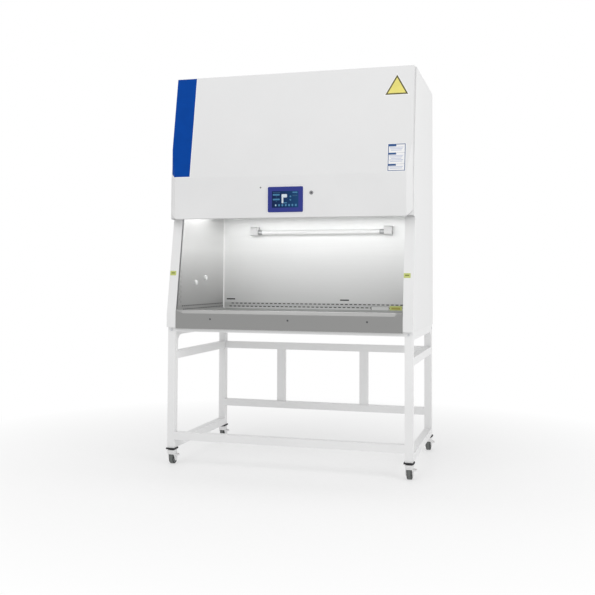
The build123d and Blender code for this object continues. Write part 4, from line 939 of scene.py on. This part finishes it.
# %% Work light tube
COVER_FOOT = 1296
tube_glow = lit("tube_glow", (0.8, 0.83, 0.85), 0.6)
tube_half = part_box("work_light")[1].x / MM - 52
tube_middle = Vector((0, up_lean(COVER_FOOT, foot_z) + 59, 16)) * MM
tube_axis = surface(pillar_front @ tube_middle, (0, 0, 1), (0, 1, 0))
tube = [(2, -tube_half), (4, 2 - tube_half), (4, tube_half - 2), (2, tube_half)]
shape = bmesh.new()
add_turned(shape, tube_axis, tube, sides=16)
new_piece("work_tube", shape, [tube_glow], "cabinet")
print("lamps fitted")

# %% [markdown]
# ## Strips in the chamber's back corners
#
# Where the side walls meet the back wall a thin folded strip covers the joint. Its tone is
# paler than the brushed sheet on either side, a painted highlight that draws a light line up
# each corner. An angle section is drawn once and joined from foot to top. The strip is thinner
# than the gap round the work tray, so that the tray can still be lifted out.

# %% Corner strips
# painted highlight: a paler tone than the wall sheet draws the bright line up each corner
highlight_strip_steel = stainless("corner_strip_highlight_steel", (0.98, 0.98, 0.975), "Z", (0.5, 0.6), painted_low_shade=0.9)
CHAMBER_HALF = 600.0
STRIP_LEG, STRIP_THICK, STRIP_BEND = 7.0, 0.6, 0.3

strip_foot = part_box("work_tray")[1].z / MM + 2
strip_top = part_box("diffuser")[0].z / MM - 1
bend = STRIP_THICK + STRIP_BEND
section = [(0, 0), (STRIP_LEG, 0), (STRIP_LEG, STRIP_THICK), (bend, STRIP_THICK),
           (STRIP_THICK, bend), (STRIP_THICK, STRIP_LEG), (0, STRIP_LEG)]
corner_y = wall_y / MM - CLEAR
for side, name in SIDES:
    shape = bmesh.new()
    corner_x = side * (CHAMBER_HALF - CLEAR)
    rings = []
    for z in (strip_foot, strip_top):
        ring = [Vector((corner_x - side * a, corner_y - b, z)) for a, b in section]
        rings.append([shape.verts.new(point * MM) for point in ring])
    bridge(shape, rings)
    new_piece(f"corner_strip_{name}", shape, [highlight_strip_steel], "cabinet")
print("corner strips fitted")

# %% [markdown]
# ## Casters
#
# The tyres share a finish with a grey-green tread between darker side walls, told apart by how
# far a point is from the front right wheel's middle plane, so the tread shows only on tyres in
# line with that wheel. On every brake pedal a short dark red mark shows where to press. The mark
# rides on its own pedal, so that it moves with it.

# %% Tyre tread
HALF_TYRE = 0.0125
tyre_low, tyre_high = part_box("caster_tyre_fr")
tyre_place = object_place(tyre_rubber)
offset = add_node(tyre_rubber, "ShaderNodeSeparateXYZ", Vector=tyre_place).outputs["X"]
middle_x = (tyre_low.x + tyre_high.x) / 2
for operation, value in (("ABSOLUTE", 0.0), ("SUBTRACT", middle_x), ("ABSOLUTE", 0.0)):
    offset = reckon(tyre_rubber, "ShaderNodeMath", operation, offset, value).outputs[0]
tread = tones(tyre_rubber, between(tyre_rubber, offset, 0, 1, 0.0, HALF_TYRE),
              (0.62, (0.13, 0.138, 0.134)), (0.74, (0.03, 0.031, 0.032)))
scuffs = noise(tyre_rubber, tyre_place, 260.0, detail=4)
blend = add_node(tyre_rubber, "ShaderNodeMix",
                 Factor=between(tyre_rubber, scuffs, 0.0, 0.3, 0.4, 0.7))
blend.data_type = "RGBA"
wire(tyre_rubber, tread, blend, "A")
blend.inputs["B"].default_value = (0.085, 0.09, 0.087, 1)
tyre_shader = tyre_rubber.node_tree.nodes["Principled BSDF"]
wire(tyre_rubber, blend.outputs["Result"], tyre_shader, "Base Color")
print(f"tread round x {middle_x:.3f} m")

# %% Pedal marks
pedal_red = moulded("pedal_mark", (0.2, 0.02, 0.02), roughness=0.4)
for corner in corners:
    pedal_low, pedal_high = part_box(f"caster_brake_{corner}")
    middle = ((pedal_low.x + pedal_high.x) / 2 / MM + 2, (pedal_low.y + pedal_high.y) / 2 / MM)
    top = surface((0, 0, pedal_high.z), (0, 1, 0))
    plates(f"pedal_mark_{corner}", top, [(rounded(middle, (4, 12), 1.9), MARK_CLEAR, 0.3, 0)],
           [pedal_red], f"brake_{corner}")
print("pedals marked")

# %% [markdown]
# ## Floor and light
#
# A product like this is shown on a plain white floor under broad soft light. The floor is a real
# surface near the cabinet, so that it takes a soft shadow, and it fades to plain white further
# out, which hides the horizon. A white world lights all sides evenly, two large lamps give the
# edges a direction, and a small weak one under the chamber's ceiling lights the inside.

# %% Floor that fades to white
def flat_sheet(name, points):
    """A one-face mesh through the points."""
    mesh = bpy.data.meshes.new(name)
    mesh.from_pydata(points, [], [tuple(range(len(points)))])
    sheet = bpy.data.objects.new(name, mesh)
    bpy.context.scene.collection.objects.link(sheet)
    return sheet


REACH = 14.0
FADE_FROM, FADE_TO = 0.7, 2.4
floor_corners = ((-1, -1), (1, -1), (1, 1), (-1, 1))
floor = flat_sheet("floor", [(x * REACH, y * REACH, 0) for x, y in floor_corners])
floor_white, floor_shader = new_finish("floor_white", roughness=0.6, colour=(0.9, 0.9, 0.9))
floor_place = add_node(floor_white, "ShaderNodeTexCoord").outputs["Object"]
speckle = noise(floor_white, floor_place, 40.0)
floor_tone = tones(floor_white, speckle, (0.3, grey(0.89)), (0.7, grey(0.91)))
wire(floor_white, floor_tone, floor_shader, "Base Color")
glow = add_node(floor_white, "ShaderNodeEmission", Color=(1, 1, 1, 1), Strength=1.0)
away = reckon(floor_white, "ShaderNodeVectorMath", "LENGTH", floor_place).outputs["Value"]
fade = add_node(floor_white, "ShaderNodeMixShader",
                Fac=between(floor_white, away, 0.45, 1, FADE_FROM, FADE_TO))
feed(floor_white, floor_shader.outputs[0], fade.inputs[1])
feed(floor_white, glow.outputs[0], fade.inputs[2])
output = floor_white.node_tree.nodes["Material Output"]
wire(floor_white, fade.outputs[0], output, "Surface")
floor.data.materials.append(floor_white)
print("floor laid")


# %% World and lamps
world = bpy.data.worlds.new("studio")
bpy.context.scene.world = world
world.use_nodes = True
sky = world.node_tree.nodes["Background"]
sky.inputs["Color"].default_value = (1, 1, 1, 1)
WORLD_LIGHT, WORLD_WHITE = 0.62, 1.0
seen = add_node(world, "ShaderNodeLightPath")
rays = seen.outputs["Is Camera Ray"]
for kind in ("Is Glossy Ray", "Is Transmission Ray"):
    rays = reckon(world, "ShaderNodeMath", "MAXIMUM", rays, seen.outputs[kind]).outputs[0]
wire(world, between(world, rays, WORLD_LIGHT, WORLD_WHITE), sky, "Strength")


def soft_lamp(name, place, aim, size, watts):
    """A rectangular area lamp that points from a place at an aim."""
    light = bpy.data.lights.new(name, "AREA")
    light.shape = "RECTANGLE"
    light.size, light.size_y = size
    light.energy = watts
    lamp = bpy.data.objects.new(name, light)
    lamp.location = place
    lamp.rotation_euler = (Vector(aim) - Vector(place)).to_track_quat("-Z", "Y").to_euler()
    bpy.context.scene.collection.objects.link(lamp)


middle = (cad_box[0] + cad_box[1]) / 2
soft_lamp("key", (-1.2, -3.6, 4.6), middle, (3.0, 3.0), 41)
soft_lamp("side", (4.4, -2.5, 2.8), middle, (3.0, 3.0), 66)
soft_lamp("chamber", (0, -0.08, 1.345), (0, -0.0799, 0.8), (1.16, 0.34), 3.8)
print("world and lamps set")

# %% [markdown]
# ## The view
#
# The camera stands right of the middle, a little under half the cabinet's height, and looks left
# and slightly up. A long-ish lens keeps the uprights almost parallel, and a small lens shift sets
# where the cabinet sits in the picture without tilting it.

# %% Camera
lens = bpy.data.cameras.new("front_right")
lens.lens = 53.58
lens.sensor_width = 36.0
lens.shift_x = 0.035
lens.shift_y = -0.09
camera = bpy.data.objects.new("front_right", lens)
turn, tilt, roll = (math.radians(v) for v in (16.375, 2.211, 0.287))
level = Matrix.Rotation(turn, 3, "Z") @ Matrix.Rotation(math.pi / 2 + tilt, 3, "X")
camera.rotation_euler = (level @ Matrix.Rotation(roll, 3, "Z")).to_euler()
camera.location = (1.2320, -4.7765, 0.9839)
bpy.context.scene.collection.objects.link(camera)
bpy.context.scene.camera = camera
bpy.context.scene.view_settings.view_transform = "Standard"
print("camera at", [round(v, 3) for v in camera.location])
